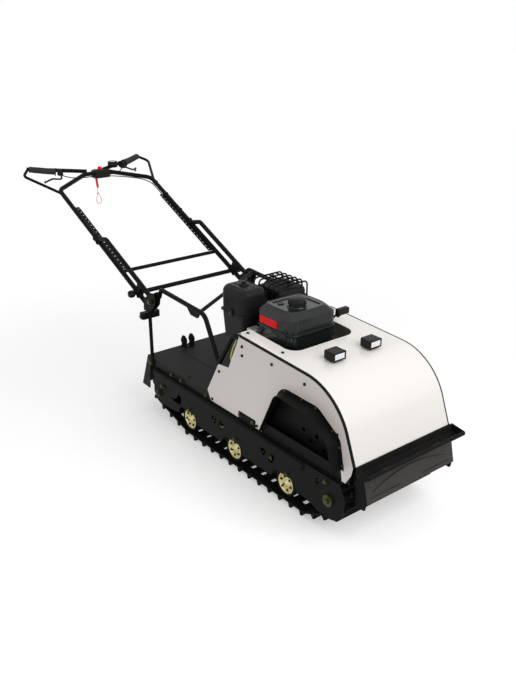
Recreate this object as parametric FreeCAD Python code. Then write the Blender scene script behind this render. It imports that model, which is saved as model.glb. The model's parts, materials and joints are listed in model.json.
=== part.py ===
import FreeCAD, Part
import math
import os
from FreeCAD import Vector as V

# Walk-behind tracked snow tug. Millimetres, +Z up, +X forward, +Y to the left.
# It is drawn about the middle of its track, on the ground and the middle plane. The
# last lines move it so that the origin lies under the middle of the whole object.

os.makedirs("parts", exist_ok=True)

# ---- driving dimensions ------------------------------------------------------
lug_pitch = 64.0          # spacing of the track lugs and of its windows
lug_count = 41            # lugs round the loop
track_width = 500.0
half_track = track_width / 2
belt_thick = 6.0
lug_high = 18.0
lug_foot = 20.0           # lug length along the belt, at its foot
lug_tip = 9.0
window_long = 30.0
window_wide = 26.0
window_y = half_track - 52.0   # middle of each window row

roller_od = 110.0
roller_disc = 86.0
roller_wide = 24.0
roller_first_x = -350.0   # rearmost outer roller axle
roller_step = 324.0       # spacing of the outer roller axles
roller_offset = 112.0     # inner roller axle ahead of its outer one
roller_face_y = half_track - 14.0   # outer face of the outer rollers
inner_face_y = half_track - 85.0    # outer face of the inner rollers
axle_dia = 18.0
sprocket_teeth = 6
drive_x = 556.0
drive_z = 150.0
idler_z = 132.0
idler_od = 100.0
rub = 0.3                 # air between the belt and what it runs on
fit = 0.05                # radial air round a shaft

side_plate_t = 3.0
side_air = 2.5            # air between the track's edge and the side plates
side_plate_y = half_track + side_air + side_plate_t   # outer face of the side plates
cross_tube_over = 11.7    # middle of the cross tubes above the rollers' tops
cross_tube_od = 26.0
side_plate_low = 94.0     # lower edge of the side plates between the rollers
arch_over_disc = 132.0    # height of the side plate's arches over the roller discs
plate_nose_r = 76.0       # round of the side plate about the drive axle
joggle_z = 236.0          # above this the side plates step in under the body
rail_out = 8.0            # how far the pressed rail stands out
longeron_y = half_track - 45.0
longeron_t = 5.0

deck_top = 278.0
deck_t = 3.0
deck_half = half_track - 8.0
deck_rear_x = -673.0
deck_front_x = -62.0
deck_flange = 32.0
guard_foot_x = -736.0     # lower rear edge of the rear guard
guard_foot_z = 112.0
bed_top = 268.0           # plate that carries the engine
bed_front_x = 640.0

panel_t = 2.0
panel_low_z = 247.0
cowl_half = deck_half - 4.0
cowl_t = 2.0
cowl_rear_x = 12.0
cowl_rear_z = 605.0       # height of the cowl's rear end
cowl_slope = 2.9          # fall of the cowl top towards the front, degrees
cowl_front_x = 661.0      # foot of the cowl's front
cowl_front_z = 328.0
cowl_lean = 21.0          # lean of the cowl's front, degrees
cowl_round = 240.0
trim_wide = 9.0
cutout_front_x = 262.0
cutout_right_y = 60.0 - cowl_half
cutout_left_y = cowl_half - 92.0
cutout_round = 50.0

fender_out = 50.0         # how far the arch fender stands out from the panel

bumper_half = half_track - 2.0
bumper_t = 4.0
bumper_rear_x = 668.0
bumper_front_x = 728.0
bumper_z = 306.0
bolt_x = 702.0             # row of holes in the bumper's floor
bolt_y = bumper_half - 52.0
bolt_hole = 12.0
nose_half = half_track - 24.0
nose_t = 3.0
nose_foot_x = 712.0
nose_foot_z = 200.0

engine_rear_x = -50.0
engine_front_x = 225.0
engine_top = 572.0
tank_x = 81.0
tank_y = -7.0
tank_long = 218.0
tank_wide = 228.0
tank_seam_z = 612.0
tank_top_z = 694.0
tank_foot_z = 572.0
cap_dia = 72.0
filter_rear_x = -233.0
filter_front_x = -69.0
filter_right_y = -150.0
filter_left_y = -20.0
filter_foot_z = 500.0
filter_top_z = 722.0

pivot_x = -560.0          # fold hinge of the handlebar
pivot_z = 576.5
bar_angle = 25.0          # rise of the handlebar to the rear, degrees
bar_od = 22.0
bar_half = half_track + 12.0   # middle of the side tubes of both handlebar frames
bar_drop = 52.5           # upper frame's tubes below the lower ones, square to them
lower_long = 445.0        # straight part of the lower tubes
ring_at = 512.0           # ring on the upper tube at the end of each lower tube
clamp_bar_at = 122.0      # crossbar with the clamps, on the lower frame
slide_bar_at = 272.0      # crossbar of the upper frame
upper_start = 60.0
upper_end = 918.0
head_back = 106.822       # handlebar's head behind and above the ends of its side tubes
head_up = 38.118
head_half = 70.0
clamp_bar_od = 20.0
slide_bar_od = 17.0
strip_at = 290.0          # lower end of the adjuster strips
strip_holes = 18
hole_pitch = 26.7
strip_wide = 22.0
strip_t = 3.0
slide_air = 0.3

support_half = deck_half - 6.5
leg_half = deck_half - 12.2    # the legs stand inside the side panels
support_od = 20.0
post_x = -622.0
post_od = 16.0
post_y = deck_half + post_od / 2   # posts on the outer faces of the deck's flanges
pin_dia = 10.0
hitch_bore = 14.0
cord_dia = 2.6            # red stop lanyard


# ---- helpers -----------------------------------------------------------------
def solids_of(shapes):
    found = []
    for shape in shapes:
        found += shape.Solids
    return found


made = {}


def save(name, *shapes):
    found = solids_of(shapes)
    made[name] = found[0] if len(found) == 1 else Part.makeCompound(found)


def other_side(shape):
    return shape.mirror(V(0, 0, 0), V(0, 1, 0))


def save_pair(name, *shapes):
    save(name, *(list(shapes) + [other_side(shape) for shape in shapes]))


def block(x0, x1, y0, y1, z0, z1):
    return Part.makeBox(x1 - x0, y1 - y0, z1 - z0, V(x0, y0, z0))


def rod(p, q, dia):
    return Part.makeCylinder(dia / 2, (q - p).Length, p, q - p)


def cross_rod(x, z, y0, y1, dia):
    return Part.makeCylinder(dia / 2, y1 - y0, V(x, y0, z), V(0, 1, 0))


def run_edges(points, closed):
    """Straight runs joined by tangent arcs; each point is (vector, corner radius)."""
    count = len(points)
    starts, ends, arcs = [], [], []
    for i in range(count):
        p, r = points[i]
        inside = closed or 0 < i < count - 1
        if r <= 0 or not inside:
            starts.append(p)
            ends.append(p)
            arcs.append(None)
            continue
        back = points[i - 1][0].sub(p).normalize()
        ahead = points[(i + 1) % count][0].sub(p).normalize()
        half = back.getAngle(ahead) / 2
        reach = r / math.tan(half)
        towards = back.add(ahead).normalize()
        middle = p.add(towards * (r / math.sin(half) - r))
        start = p.add(back * reach)
        end = p.add(ahead * reach)
        starts.append(start)
        ends.append(end)
        arcs.append(Part.Arc(start, middle, end).toShape())
    edges = []
    for i in range(count):
        if arcs[i] is not None:
            edges.append(arcs[i])
        if i == count - 1 and not closed:
            break
        nxt = starts[(i + 1) % count]
        if ends[i].distanceToPoint(nxt) > 1e-6:
            edges.append(Part.LineSegment(ends[i], nxt).toShape())
    return edges


def outline(points, y=0.0):
    """Closed outline in the side view from (x, z) or (x, z, corner radius)."""
    full = [(V(p[0], y, p[1]), p[2] if len(p) > 2 else 0.0) for p in points]
    return Part.Wire(run_edges(full, True))


def side_plate(points, y0, y1):
    return Part.Face(outline(points, y0)).extrude(V(0, y1 - y0, 0))


def plan_plate(points, z0, z1):
    full = [(V(p[0], p[1], z0), p[2] if len(p) > 2 else 0.0) for p in points]
    return Part.Face(Part.Wire(run_edges(full, True))).extrude(V(0, 0, z1 - z0))


def tube(points, dia):
    """Round bar along straight runs and tangent arcs; points are (vector, radius)."""
    path = Part.Wire(run_edges(points, False))
    start = points[0][0]
    profile = Part.Wire(Part.makeCircle(dia / 2, start, points[1][0].sub(start)))
    return path.makePipeShell([profile], True, True)


def bent_sheet(points, thick, y0, y1):
    """Sheet of even thickness along an open side-view line; corners are mitred."""
    left, right = [], []
    count = len(points)
    for i in range(count):
        x, z = points[i][0], points[i][1]
        normals = []
        if i > 0:
            dx, dz = x - points[i - 1][0], z - points[i - 1][1]
            size = math.hypot(dx, dz)
            normals.append((-dz / size, dx / size))
        if i < count - 1:
            dx, dz = points[i + 1][0] - x, points[i + 1][1] - z
            size = math.hypot(dx, dz)
            normals.append((-dz / size, dx / size))
        nx = sum(n[0] for n in normals)
        nz = sum(n[1] for n in normals)
        scale = 2.0 / (nx * nx + nz * nz) if len(normals) == 2 else 1.0
        r = points[i][2] if len(points[i]) > 2 else 0.0
        left.append((x, z, r))
        right.append((x + nx * scale * thick, z + nz * scale * thick, r))
    return side_plate(left + right[::-1], y0, y1)


# ---- track loop ----------------------------------------------------------------
belt_mid = belt_thick / 2 + rub
roller_z = lug_high + belt_thick + rub + roller_od / 2
cross_tube_z = roller_z + roller_od / 2 + cross_tube_over
inner_x = [roller_first_x + roller_offset + i * roller_step for i in range(3)]
outer_x = [roller_first_x + i * roller_step for i in range(3)]
sprocket_r = sprocket_teeth * lug_pitch / (2 * math.pi) - belt_mid


def loop_of(idler_x):
    """Middle line of the belt: lines and arcs round the four end wheels."""
    wheels = [
        (idler_x, idler_z, idler_od / 2 + belt_mid),
        (outer_x[0], roller_z, roller_od / 2 + belt_mid),
        (inner_x[2], roller_z, roller_od / 2 + belt_mid),
        (drive_x, drive_z, sprocket_r + belt_mid),
    ]
    count = len(wheels)
    tangents = []
    for i in range(count):
        x1, z1, r1 = wheels[i]
        x2, z2, r2 = wheels[(i + 1) % count]
        span = math.hypot(x2 - x1, z2 - z1)
        ux, uz = (x2 - x1) / span, (z2 - z1) / span
        lean = (r1 - r2) / span
        flat = math.sqrt(1 - lean * lean)
        nx, nz = uz * flat + ux * lean, -ux * flat + uz * lean
        tangents.append((nx, nz))
    parts = []
    for i in range(count):
        x1, z1, r1 = wheels[i]
        x2, z2, r2 = wheels[(i + 1) % count]
        nx, nz = tangents[i]
        a = (x1 + nx * r1, z1 + nz * r1)
        b = (x2 + nx * r2, z2 + nz * r2)
        parts.append(("line", a, b, (nx, nz), math.hypot(b[0] - a[0], b[1] - a[1])))
        mx, mz = tangents[(i + 1) % count]
        first = math.atan2(nz, nx)
        turn = (math.atan2(mz, mx) - first) % (2 * math.pi)
        parts.append(("arc", (x2, z2), r2, first, turn * r2))
    return parts


def loop_length(parts):
    return sum(part[4] for part in parts)


# The idler is set back until the loop takes up its whole number of lug pitches.
near_x, far_x = outer_x[0] - 60.0, outer_x[0] - 600.0
for step in range(60):
    idler_x = (near_x + far_x) / 2
    if loop_length(loop_of(idler_x)) < lug_count * lug_pitch:
        near_x = idler_x
    else:
        far_x = idler_x
belt = loop_of(idler_x)
belt_long = loop_length(belt)


def on_belt(s, off):
    """Point and outward direction at distance s round the belt, off its middle."""
    s = s % belt_long
    for part in belt:
        if s <= part[4]:
            if part[0] == "line":
                t = s / part[4]
                n = part[3]
                x = part[1][0] + (part[2][0] - part[1][0]) * t
                z = part[1][1] + (part[2][1] - part[1][1]) * t
            else:
                angle = part[3] + s / part[2]
                n = (math.cos(angle), math.sin(angle))
                x = part[1][0] + part[2] * n[0]
                z = part[1][1] + part[2] * n[1]
            return V(x + n[0] * off, 0, z + n[1] * off), n
        s -= part[4]
    return on_belt(0.0, off)


def belt_edges(s0, s1, off):
    """Edges along the belt from s0 to s1 (s1 > s0), off its middle line."""
    cuts = [s0]
    base = math.floor(s0 / belt_long) * belt_long
    for lap in range(2):
        mark = base + lap * belt_long
        for part in belt:
            if s0 + 1e-4 < mark < s1 - 1e-4:
                cuts.append(mark)
            mark += part[4]
    cuts = sorted(set(cuts)) + [s1]
    edges = []
    for a, b in zip(cuts, cuts[1:]):
        p, q = on_belt(a + 1e-9, off)[0], on_belt(b - 1e-9, off)[0]
        m, n = on_belt((a + b) / 2, off)
        if p.add(q).multiply(0.5).distanceToPoint(m) < 1e-4:
            edges.append((p, q, None))
        else:
            edges.append((p, q, m))
    return edges


def build_track():
    out_off, tip_off = belt_thick / 2, belt_thick / 2 + lug_high
    points = []
    for i in range(lug_count):
        s = (i + 0.5) * lug_pitch
        foot_a = on_belt(s - lug_foot / 2, out_off)[0]
        tip_a = on_belt(s - lug_tip / 2, tip_off)[0]
        tip_b = on_belt(s + lug_tip / 2, tip_off)[0]
        foot_b = on_belt(s + lug_foot / 2, out_off)[0]
        points += [(foot_a, tip_a, None), (tip_a, tip_b, None), (tip_b, foot_b, None)]
        points += belt_edges(s + lug_foot / 2, s + lug_pitch - lug_foot / 2, out_off)
    edges = []
    for i in range(len(points)):
        p, q, m = points[i]
        q = points[(i + 1) % len(points)][0]
        edges.append(Part.LineSegment(p, q).toShape() if m is None else Part.Arc(p, m, q).toShape())
    inner = []
    chain = belt_edges(0.0, belt_long, -belt_thick / 2)
    for i in range(len(chain)):
        p, q, m = chain[i]
        q = chain[(i + 1) % len(chain)][0]
        inner.append(Part.LineSegment(p, q).toShape() if m is None else Part.Arc(p, m, q).toShape())
    solid = Part.Face(Part.Wire(edges)).extrude(V(0, track_width, 0))
    hollow = Part.Face(Part.Wire(inner)).extrude(V(0, track_width, 0))
    solid = solid.cut(hollow)
    solid.translate(V(0, -half_track, 0))
    windows = []
    for i in range(lug_count):
        p, n = on_belt(i * lug_pitch, 0)
        for y in (-window_y, window_y):
            box = Part.makeBox(window_long, window_wide, 4 * belt_thick)
            box.translate(V(-window_long / 2, -window_wide / 2, -2 * belt_thick))
            turn = math.degrees(math.atan2(n[0], n[1]))
            box.rotate(V(0, 0, 0), V(0, 1, 0), turn)
            box.translate(V(p.x, y, p.z))
            windows.append(box)
    return solid.cut(Part.makeCompound(windows))


save("track", build_track())


# ---- rollers, idler and drive ---------------------------------------------------
def roller_disc_at(x, face_y, capped):
    """Pressed wheel disc with a domed hub cap; its outer face is towards -Y."""
    r = roller_disc / 2
    half = axle_dia / 2 + fit
    deep = roller_wide - 4
    line = [
        (19, 0, 0), (22, 3, 0), (34, 3, 0), (37, 0, 0), (r, 0, 0), (r, deep, 0),
        (36, deep, 0), (33, 8, 0), (20, 8, 0), (17, deep, 0), (half, deep, 0),
    ]
    if capped:
        line = [(0, -7, 0), (9, -5.5, 0), (15, 0, 0)] + line + [(half, 3, 0), (0, 3, 0)]
    else:
        line = [(half, 0, 0)] + line
    pts = [(V(p[0], p[1], 0), 0.0) for p in line]
    face = Part.Face(Part.Wire(run_edges(pts, True)))
    solid = face.revolve(V(0, 0, 0), V(0, 1, 0), 360)
    solid.translate(V(x, -face_y + 2, roller_z))
    return solid


def roller_tyre_at(x, face_y):
    rb, rt, w = roller_disc / 2, roller_od / 2, roller_wide
    line = [(rb, 1, 0), (rb + 4, 0, 0), (rt, 0, 5), (rt, w, 5), (rb + 4, w, 0), (rb, w - 1, 0)]
    pts = [(V(p[0], p[1], 0), p[2]) for p in line]
    solid = Part.Face(Part.Wire(run_edges(pts, True))).revolve(V(0, 0, 0), V(0, 1, 0), 360)
    solid.translate(V(x, -face_y, roller_z))
    return solid


discs = [roller_disc_at(x, roller_face_y, True) for x in outer_x]
discs += [roller_disc_at(x, inner_face_y, False) for x in inner_x]
tyres = [roller_tyre_at(x, roller_face_y) for x in outer_x]
tyres += [roller_tyre_at(x, inner_face_y) for x in inner_x]
save_pair("roller_discs", *discs)
save_pair("roller_tyres", *tyres)

axle_end = roller_face_y - 5.5
axles = [cross_rod(x, roller_z, -axle_end, axle_end, axle_dia) for x in outer_x]
for x in inner_x:
    axles.append(cross_rod(x, roller_z, -longeron_y, longeron_y, axle_dia))
save("roller_axles", *axles)


def idler_wheel(y0):
    r = idler_od / 2
    line = [(axle_dia / 2 + fit, 0, 0), (26, 0, 0), (26, 8, 4), (r - 10, 8, 4), (r - 10, 0, 0),
            (r, 0, 3), (r, 30, 3), (r - 10, 30, 0), (r - 10, 22, 4), (26, 22, 4), (26, 30, 0),
            (axle_dia / 2 + fit, 30, 0)]
    pts = [(V(p[0], p[1], 0), p[2]) for p in line]
    solid = Part.Face(Part.Wire(run_edges(pts, True))).revolve(V(0, 0, 0), V(0, 1, 0), 360)
    solid.translate(V(idler_x, y0, idler_z))
    return solid


save_pair("idler_wheels", idler_wheel(25 - half_track), idler_wheel(130 - half_track))
idler_end = side_plate_y + 8
nut = [cross_rod(idler_x, idler_z, -idler_end, -side_plate_y, 30)]
nut.append(other_side(nut[0]))
idler_axle = cross_rod(idler_x, idler_z, -side_plate_y, side_plate_y, axle_dia)
save("idler_axle", idler_axle.fuse(nut))


def sprocket(y0, wide):
    """Toothed drive wheel whose teeth stand in the belt windows."""
    hub = cross_rod(drive_x, drive_z, y0, y0 + wide, 2 * (sprocket_r - 1.0))
    start = loop_length(belt[:6])
    first = math.ceil(start / lug_pitch) * lug_pitch
    p, n = on_belt(first, 0)
    phase = math.atan2(n[1], n[0])
    teeth = []
    for i in range(sprocket_teeth):
        tooth = Part.Face(Part.Wire(run_edges([
            (V(sprocket_r - 8, 0, -9), 0.0), (V(sprocket_r - 1, 0, -9), 0.0),
            (V(sprocket_r + belt_thick, 0, -5), 3.0), (V(sprocket_r + belt_thick, 0, 5), 3.0),
            (V(sprocket_r - 1, 0, 9), 0.0), (V(sprocket_r - 8, 0, 9), 0.0)], True)))
        tooth = tooth.extrude(V(0, wide, 0))
        angle = phase + i * 2 * math.pi / sprocket_teeth
        tooth.rotate(V(0, 0, 0), V(0, 1, 0), -math.degrees(angle))
        tooth.translate(V(drive_x, y0, drive_z))
        teeth.append(tooth)
    wheel = hub.fuse(teeth).removeSplitter()
    holes = []
    for i in range(6):
        angle = i * math.pi / 3
        x = drive_x + 36 * math.cos(angle)
        z = drive_z + 36 * math.sin(angle)
        holes.append(cross_rod(x, z, y0 - 1, y0 + wide + 1, 20))
    holes.append(cross_rod(drive_x, drive_z, y0 - 1, y0 + wide + 1, 30 + 2 * fit))
    return wheel.cut(holes)


save_pair("drive_sprockets", sprocket(-window_y - 8, 16))
drive_end = side_plate_y
drive_axle = cross_rod(drive_x, drive_z, -drive_end, drive_end, 30)
cap = cross_rod(drive_x, drive_z, -drive_end - 9, -drive_end, 46)
save("drive_axle", drive_axle.fuse([cap, other_side(cap)]))

# ---- side plates, longerons and rails of the track frame ---------------------------
plate_in = side_plate_y - side_plate_t


def side_frame():
    """Side plate outside the track, with an arch over each outer roller."""
    low, top, nose_r = side_plate_low, arch_over_disc, plate_nose_r
    lean = 12.0
    points = [(idler_x - 42, joggle_z + 3), (idler_x - 42, 112.0, 30), (idler_x + 16, 84.0, 30),
              (idler_x + 96, 88.0, 30)]
    for x in outer_x:
        mid = x + lean
        points += [(mid - 72, low, 10), (mid - 56, top, 24), (mid + 56, top, 24), (mid + 72, low, 10)]
    points += [(outer_x[2] + 146, low, 30), (drive_x - 44, drive_z - nose_r, 50),
               (drive_x + nose_r, drive_z - nose_r, nose_r - 0.01), (drive_x + nose_r, 192, 30),
               (drive_x + 50, joggle_z + 3)]
    plate = side_plate(points, -side_plate_y, -plate_in)
    step = block(idler_x - 42, drive_x + 50, -side_plate_y, -deck_half, joggle_z, joggle_z + 3)
    upper = block(idler_x - 42, drive_x + 50, -deck_half - 3, -deck_half, joggle_z, panel_low_z - 1)
    tabs = [block(-492, -372, -deck_half - 3, -deck_half, joggle_z, 262)]
    tabs.append(side_plate([(20, joggle_z), (122, joggle_z), (122, 276, 6), (20, 276, 6)],
                           -deck_half - 3, -deck_half))
    plate = plate.fuse([step, upper] + tabs).removeSplitter()
    y0, y1 = -side_plate_y - 1, -plate_in + 1
    cuts = []
    for i in range(2):
        x = inner_x[i] + 122
        cuts.append(side_plate([(x - 44, 190, 7), (x + 1, 188, 7), (x - 22, 150, 8)], y0, y1))
        teardrop = [(x + 26, 191, 8), (x + 49, 178, 8), (x + 32, 146, 8), (x + 3, 154, 8)]
        cuts.append(side_plate(teardrop, y0, y1))
    cuts.append(side_plate([(-491, 148, 4), (-432, 152, 10), (-404, 186, 12), (-383, 176, 8), (-391, 138, 10),
                            (-440, 136, 10)], y0, y1))
    cuts.append(side_plate([(-516, 172, 4), (-516, 192, 4), (-504, 192, 4), (-504, 172, 4)], y0, y1))
    cuts.append(side_plate([(482, 186, 5), (490, 214, 5), (506, 208, 5), (498, 180, 5)], y0, y1))
    cuts.append(cross_rod(idler_x, idler_z, y0, y1, axle_dia + 2 * fit))
    cuts.append(cross_rod(drive_x, drive_z, y0, y1, 30 + 2 * fit))
    return plate.cut(cuts)


save_pair("side_plates", side_frame())


def pressed_strip(inset, deep):
    """Tapered strip on the side plate, with rounded ends."""
    low, high, tail, nose = 198.0, 238.0, idler_x - 36, 430.0
    rings = []
    for y, k in ((-side_plate_y, inset), (-side_plate_y - deep, inset + 5.0)):
        rings.append(outline([(tail + k, low + k, 3), (nose - 12 - k, low + k, 12), (nose - k, high - k, 8),
                              (tail + k, high - k, 3)], y))
    return Part.makeLoft(rings, True, True)


def side_rail():
    """Pressed rail along the side plate, hollow behind."""
    return pressed_strip(0.0, rail_out).cut(pressed_strip(2.0, rail_out - 2.0))


save_pair("side_rails", side_rail())


def longeron():
    low, high, ear_top = roller_z - 17.3, roller_z + 22.7, cross_tube_z + 18
    ears = []
    for x in reversed(outer_x):
        ears += [(x + 78, high, 8), (x + 58, ear_top, 8), (x + 4, ear_top, 8), (x - 12, high, 8)]
    points = [(outer_x[0] - 30, low, 10), (inner_x[2] + 30, low, 10), (inner_x[2] + 30, high, 10)]
    plate = side_plate(points + ears + [(outer_x[0] - 30, high, 10)],
                       -longeron_y, -longeron_y + longeron_t)
    holes = [cross_rod(x, roller_z, -longeron_y - 1, -longeron_y + longeron_t + 1, axle_dia + 2 * fit)
             for x in outer_x + inner_x]
    holes += [cross_rod(x + 31, cross_tube_z, -longeron_y - 1, -longeron_y + longeron_t + 1,
                        cross_tube_od + 2 * fit) for x in outer_x]
    return plate.cut(holes)


save_pair("longerons", longeron())
save("cross_tubes", *[cross_rod(x + 31, cross_tube_z, -plate_in, plate_in, cross_tube_od)
                      for x in outer_x])

# ---- deck, engine bed and rear guard ----------------------------------------------
deck = block(deck_rear_x, deck_front_x, -deck_half, deck_half, deck_top - deck_t, deck_top)
for sign in (-1, 1):
    y0 = sign * deck_half - (panel_t if sign > 0 else 0)
    deck = deck.fuse(block(deck_rear_x, deck_front_x, y0, y0 + panel_t, deck_top - deck_flange,
                           deck_top))
deck = deck.removeSplitter()
save("rear_deck", deck)
save("deck_cover", plan_plate([(-618, -96, 6), (-300, -96, 6), (-300, 96, 6), (-618, 96, 6)],
                              deck_top, deck_top + 2))

bed = block(deck_front_x + 1, bed_front_x, -deck_half, deck_half, bed_top - deck_t, bed_top)
for sign in (-1, 1):
    y0 = sign * deck_half - (panel_t if sign > 0 else 0)
    bed = bed.fuse(block(deck_front_x + 1, bed_front_x, y0, y0 + panel_t, deck_top - deck_flange,
                         bed_top + 24))
save("engine_bed", bed.removeSplitter())

guard = bent_sheet([(deck_rear_x - 0.5, deck_top), (guard_foot_x, guard_foot_z)], -3.0,
                   -deck_half, deck_half)
for sign in (-1, 1):
    y0 = sign * deck_half - (3 if sign > 0 else 0)
    cheek = side_plate([(deck_rear_x - 0.5, deck_top), (guard_foot_x, guard_foot_z),
                        (guard_foot_x + 64, guard_foot_z - 4, 8), (deck_rear_x + 8, 190, 20),
                        (deck_rear_x + 18, deck_top - deck_flange - 1),
                        (deck_rear_x - 0.5, deck_top - deck_flange - 1)], y0, y0 + 3)
    guard = guard.fuse(cheek)
save("rear_guard", guard.removeSplitter())


# ---- cowl and side panels ---------------------------------------------------------
def cowl_line(off):
    """Top line, round and front line of the cowl, moved inwards by off."""
    down = math.radians(cowl_slope)
    lean = math.radians(cowl_lean)
    top = (cowl_rear_x - off * math.sin(down), cowl_rear_z - off * math.cos(down))
    foot = (cowl_front_x - off * math.cos(lean), cowl_front_z - off * math.sin(lean))
    tx, tz = math.cos(down), -math.sin(down)
    fx, fz = -math.sin(lean), math.cos(lean)
    dx, dz = foot[0] - top[0], foot[1] - top[1]
    t = (dx * fz - dz * fx) / (tx * fz - tz * fx)
    corner = (top[0] + tx * t, top[1] + tz * t)
    return top, corner, foot


def at_top(x, off):
    top, corner, foot = cowl_line(off)
    return top[1] + (corner[1] - top[1]) * (x - top[0]) / (corner[0] - top[0])


def band(off_a, off_b, y0, y1, rear_x):
    """Strip that follows the cowl's line between two offsets."""
    ca, fa = cowl_line(off_a)[1:]
    cb, fb = cowl_line(off_b)[1:]
    strip = side_plate([(rear_x, at_top(rear_x, off_a)), (ca[0], ca[1], cowl_round - off_a), fa, fb,
                        (cb[0], cb[1], cowl_round - off_b), (rear_x, at_top(rear_x, off_b))], y0, y1)
    return strip


cowl = band(0, cowl_t, -cowl_half, cowl_half, cowl_rear_x)
for sign in (-1, 1):
    y0 = sign * cowl_half - (cowl_t if sign > 0 else 0)
    cowl = cowl.fuse(band(0, 16, y0, y0 + cowl_t, cowl_rear_x))
cutout = plan_plate([(cowl_rear_x - 20, cutout_right_y), (cutout_front_x, cutout_right_y, cutout_round),
                     (cutout_front_x, cutout_left_y, cutout_round), (cowl_rear_x - 20, cutout_left_y)],
                    560, 640)
cowl = cowl.cut(cutout)
corner_cut = []
for y0, y1 in ((-cowl_half + 2.01, cutout_right_y + 1), (cutout_left_y - 1, cowl_half - 2.01)):
    tab = plan_plate([(cowl_rear_x - 30, y0), (cowl_rear_x + 30, y0), (cowl_rear_x + 30, y1),
                      (cowl_rear_x - 30, y1)], 560, 640)
    keep = plan_plate([(cowl_rear_x, y0, 20), (cowl_rear_x + 60, y0), (cowl_rear_x + 60, y1),
                       (cowl_rear_x, y1, 20)], 560, 640)
    corner_cut.append(tab.cut(keep))
cowl = cowl.cut(corner_cut).removeSplitter()
save("cowl", cowl)

trim_in = cowl_half + 0.3
panel_y = deck_half + panel_t
save_pair("cowl_trims", band(-1.5, trim_wide - 1.5, -panel_y - 1, -trim_in, cowl_rear_x + 4))

arch = [(162, panel_low_z, 0), (286, 473, 62), (470, 468, 60), (578, 400, 50), (603, panel_low_z, 0)]


def side_panel():
    off = trim_wide - 0.7
    top, corner, foot = cowl_line(off)
    rear_x = cowl_rear_x + 14
    panel = side_plate([(rear_x, at_top(rear_x, off)), (-46, 441), (-114, 433, 6), (-196, 289, 6),
                        (-172, panel_low_z, 4), (620, panel_low_z), (646, 290), (foot[0], foot[1] + 2),
                        (corner[0], corner[1], cowl_round - off)], -panel_y, -deck_half)
    y0, y1 = -panel_y - 1, -deck_half + 1
    opening = side_plate(arch + [(603, 200, 0), (162, 200, 0)], y0, y1)
    notch = side_plate([(16, 200), (16, 279, 6), (126, 279, 6), (126, 200)], y0, y1)
    return panel.cut([opening, notch]).removeSplitter()


save_pair("side_panels", side_panel())


def arch_fender():
    """Band round the arch, standing out from the panel and narrower at its rear foot."""
    y0, y1 = -panel_y - fender_out, -panel_y
    wire_out = [(162, 252, 0), (286, 473, 62), (470, 468, 60), (578, 400, 50), (601, 292, 0)]
    wire_in = [(598, 292, 0), (575, 399, 47), (469, 465, 57), (288, 470, 59), (165.6, 252, 0)]
    strip = side_plate(wire_out + wire_in, y0, y1)
    flange = side_plate([(150, 252, 0), (278, 485, 66), (474, 480, 66), (588, 406, 56), (612, 292, 0),
                         (598, 292, 0), (575, 399, 47), (469, 465, 57), (288, 470, 59), (165.6, 252, 0)],
                        -panel_y - 2, -panel_y)
    wedge = plan_plate([(120, -panel_y - fender_out - 2), (345, -panel_y - fender_out - 2),
                        (345, -panel_y - fender_out), (120, -panel_y - 8)], 200, 500)
    return strip.fuse(flange).cut(wedge).removeSplitter()


save_pair("arch_fenders", arch_fender())
well_y = deck_half - 37.0
well = side_plate([(150, bed_top, 0), (286, 500, 40), (500, 500, 40), (600, 420, 40), (622, bed_top, 0)],
                  -well_y, -well_y + 2)
vents = []
for x, z in ((430, 330), (470, 290), (400, 300), (360, 330), (440, 380)):
    vents.append(cross_rod(x, z, -well_y - 1, -well_y + 3, 18))
save_pair("arch_wells", well.cut(vents))

# ---- front end ---------------------------------------------------------------------
sheet = bent_sheet([(bumper_rear_x, bumper_z + 27), (bumper_rear_x + 10, bumper_z, 6),
                    (bumper_front_x - 13, bumper_z, 5), (bumper_front_x, bumper_z + 17)], -bumper_t,
                   -bumper_half + 3, bumper_half - 3)
lip = cross_rod(bumper_front_x, bumper_z + 13, -bumper_half + 3, bumper_half - 3, 15)
ends = []
for sign in (-1, 1):
    y0 = sign * bumper_half - (3 if sign > 0 else 0)
    ends.append(side_plate([(bumper_rear_x, bumper_z + 30, 3), (bumper_front_x + 2, bumper_z + 21, 6),
                            (bumper_front_x + 8, bumper_z + 10, 6), (bumper_front_x - 30, bumper_z - 6, 8),
                            (bumper_rear_x + 8, bumper_z - 6, 4)], y0, y0 + 3))
bumper = sheet.fuse([lip] + ends).removeSplitter()
holes = []
for sign in (-1, 1):
    for y, long, wide in ((28, 20, 9), (130, 46, 11)):
        x0, x1 = bolt_x - wide / 2, bolt_x + wide / 2
        y0, y1 = sign * y - long / 2, sign * y + long / 2
        r = wide / 2 - 0.01
        holes.append(plan_plate([(x0, y0, r), (x1, y0, r), (x1, y1, r), (x0, y1, r)], bumper_z - 20,
                                bumper_z + 10))
    holes.append(Part.makeCylinder(bolt_hole / 2, 30, V(bolt_x, sign * bolt_y, bumper_z - 20)))
save("bumper", bumper.cut(holes))

nose_top_x = bumper_rear_x + 20
nose_top_z = bumper_z - bumper_t - 0.5
nose = bent_sheet([(nose_top_x, nose_top_z), (nose_foot_x, nose_foot_z)], -nose_t, -nose_half, nose_half)
save("nose_plate", nose)

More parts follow.
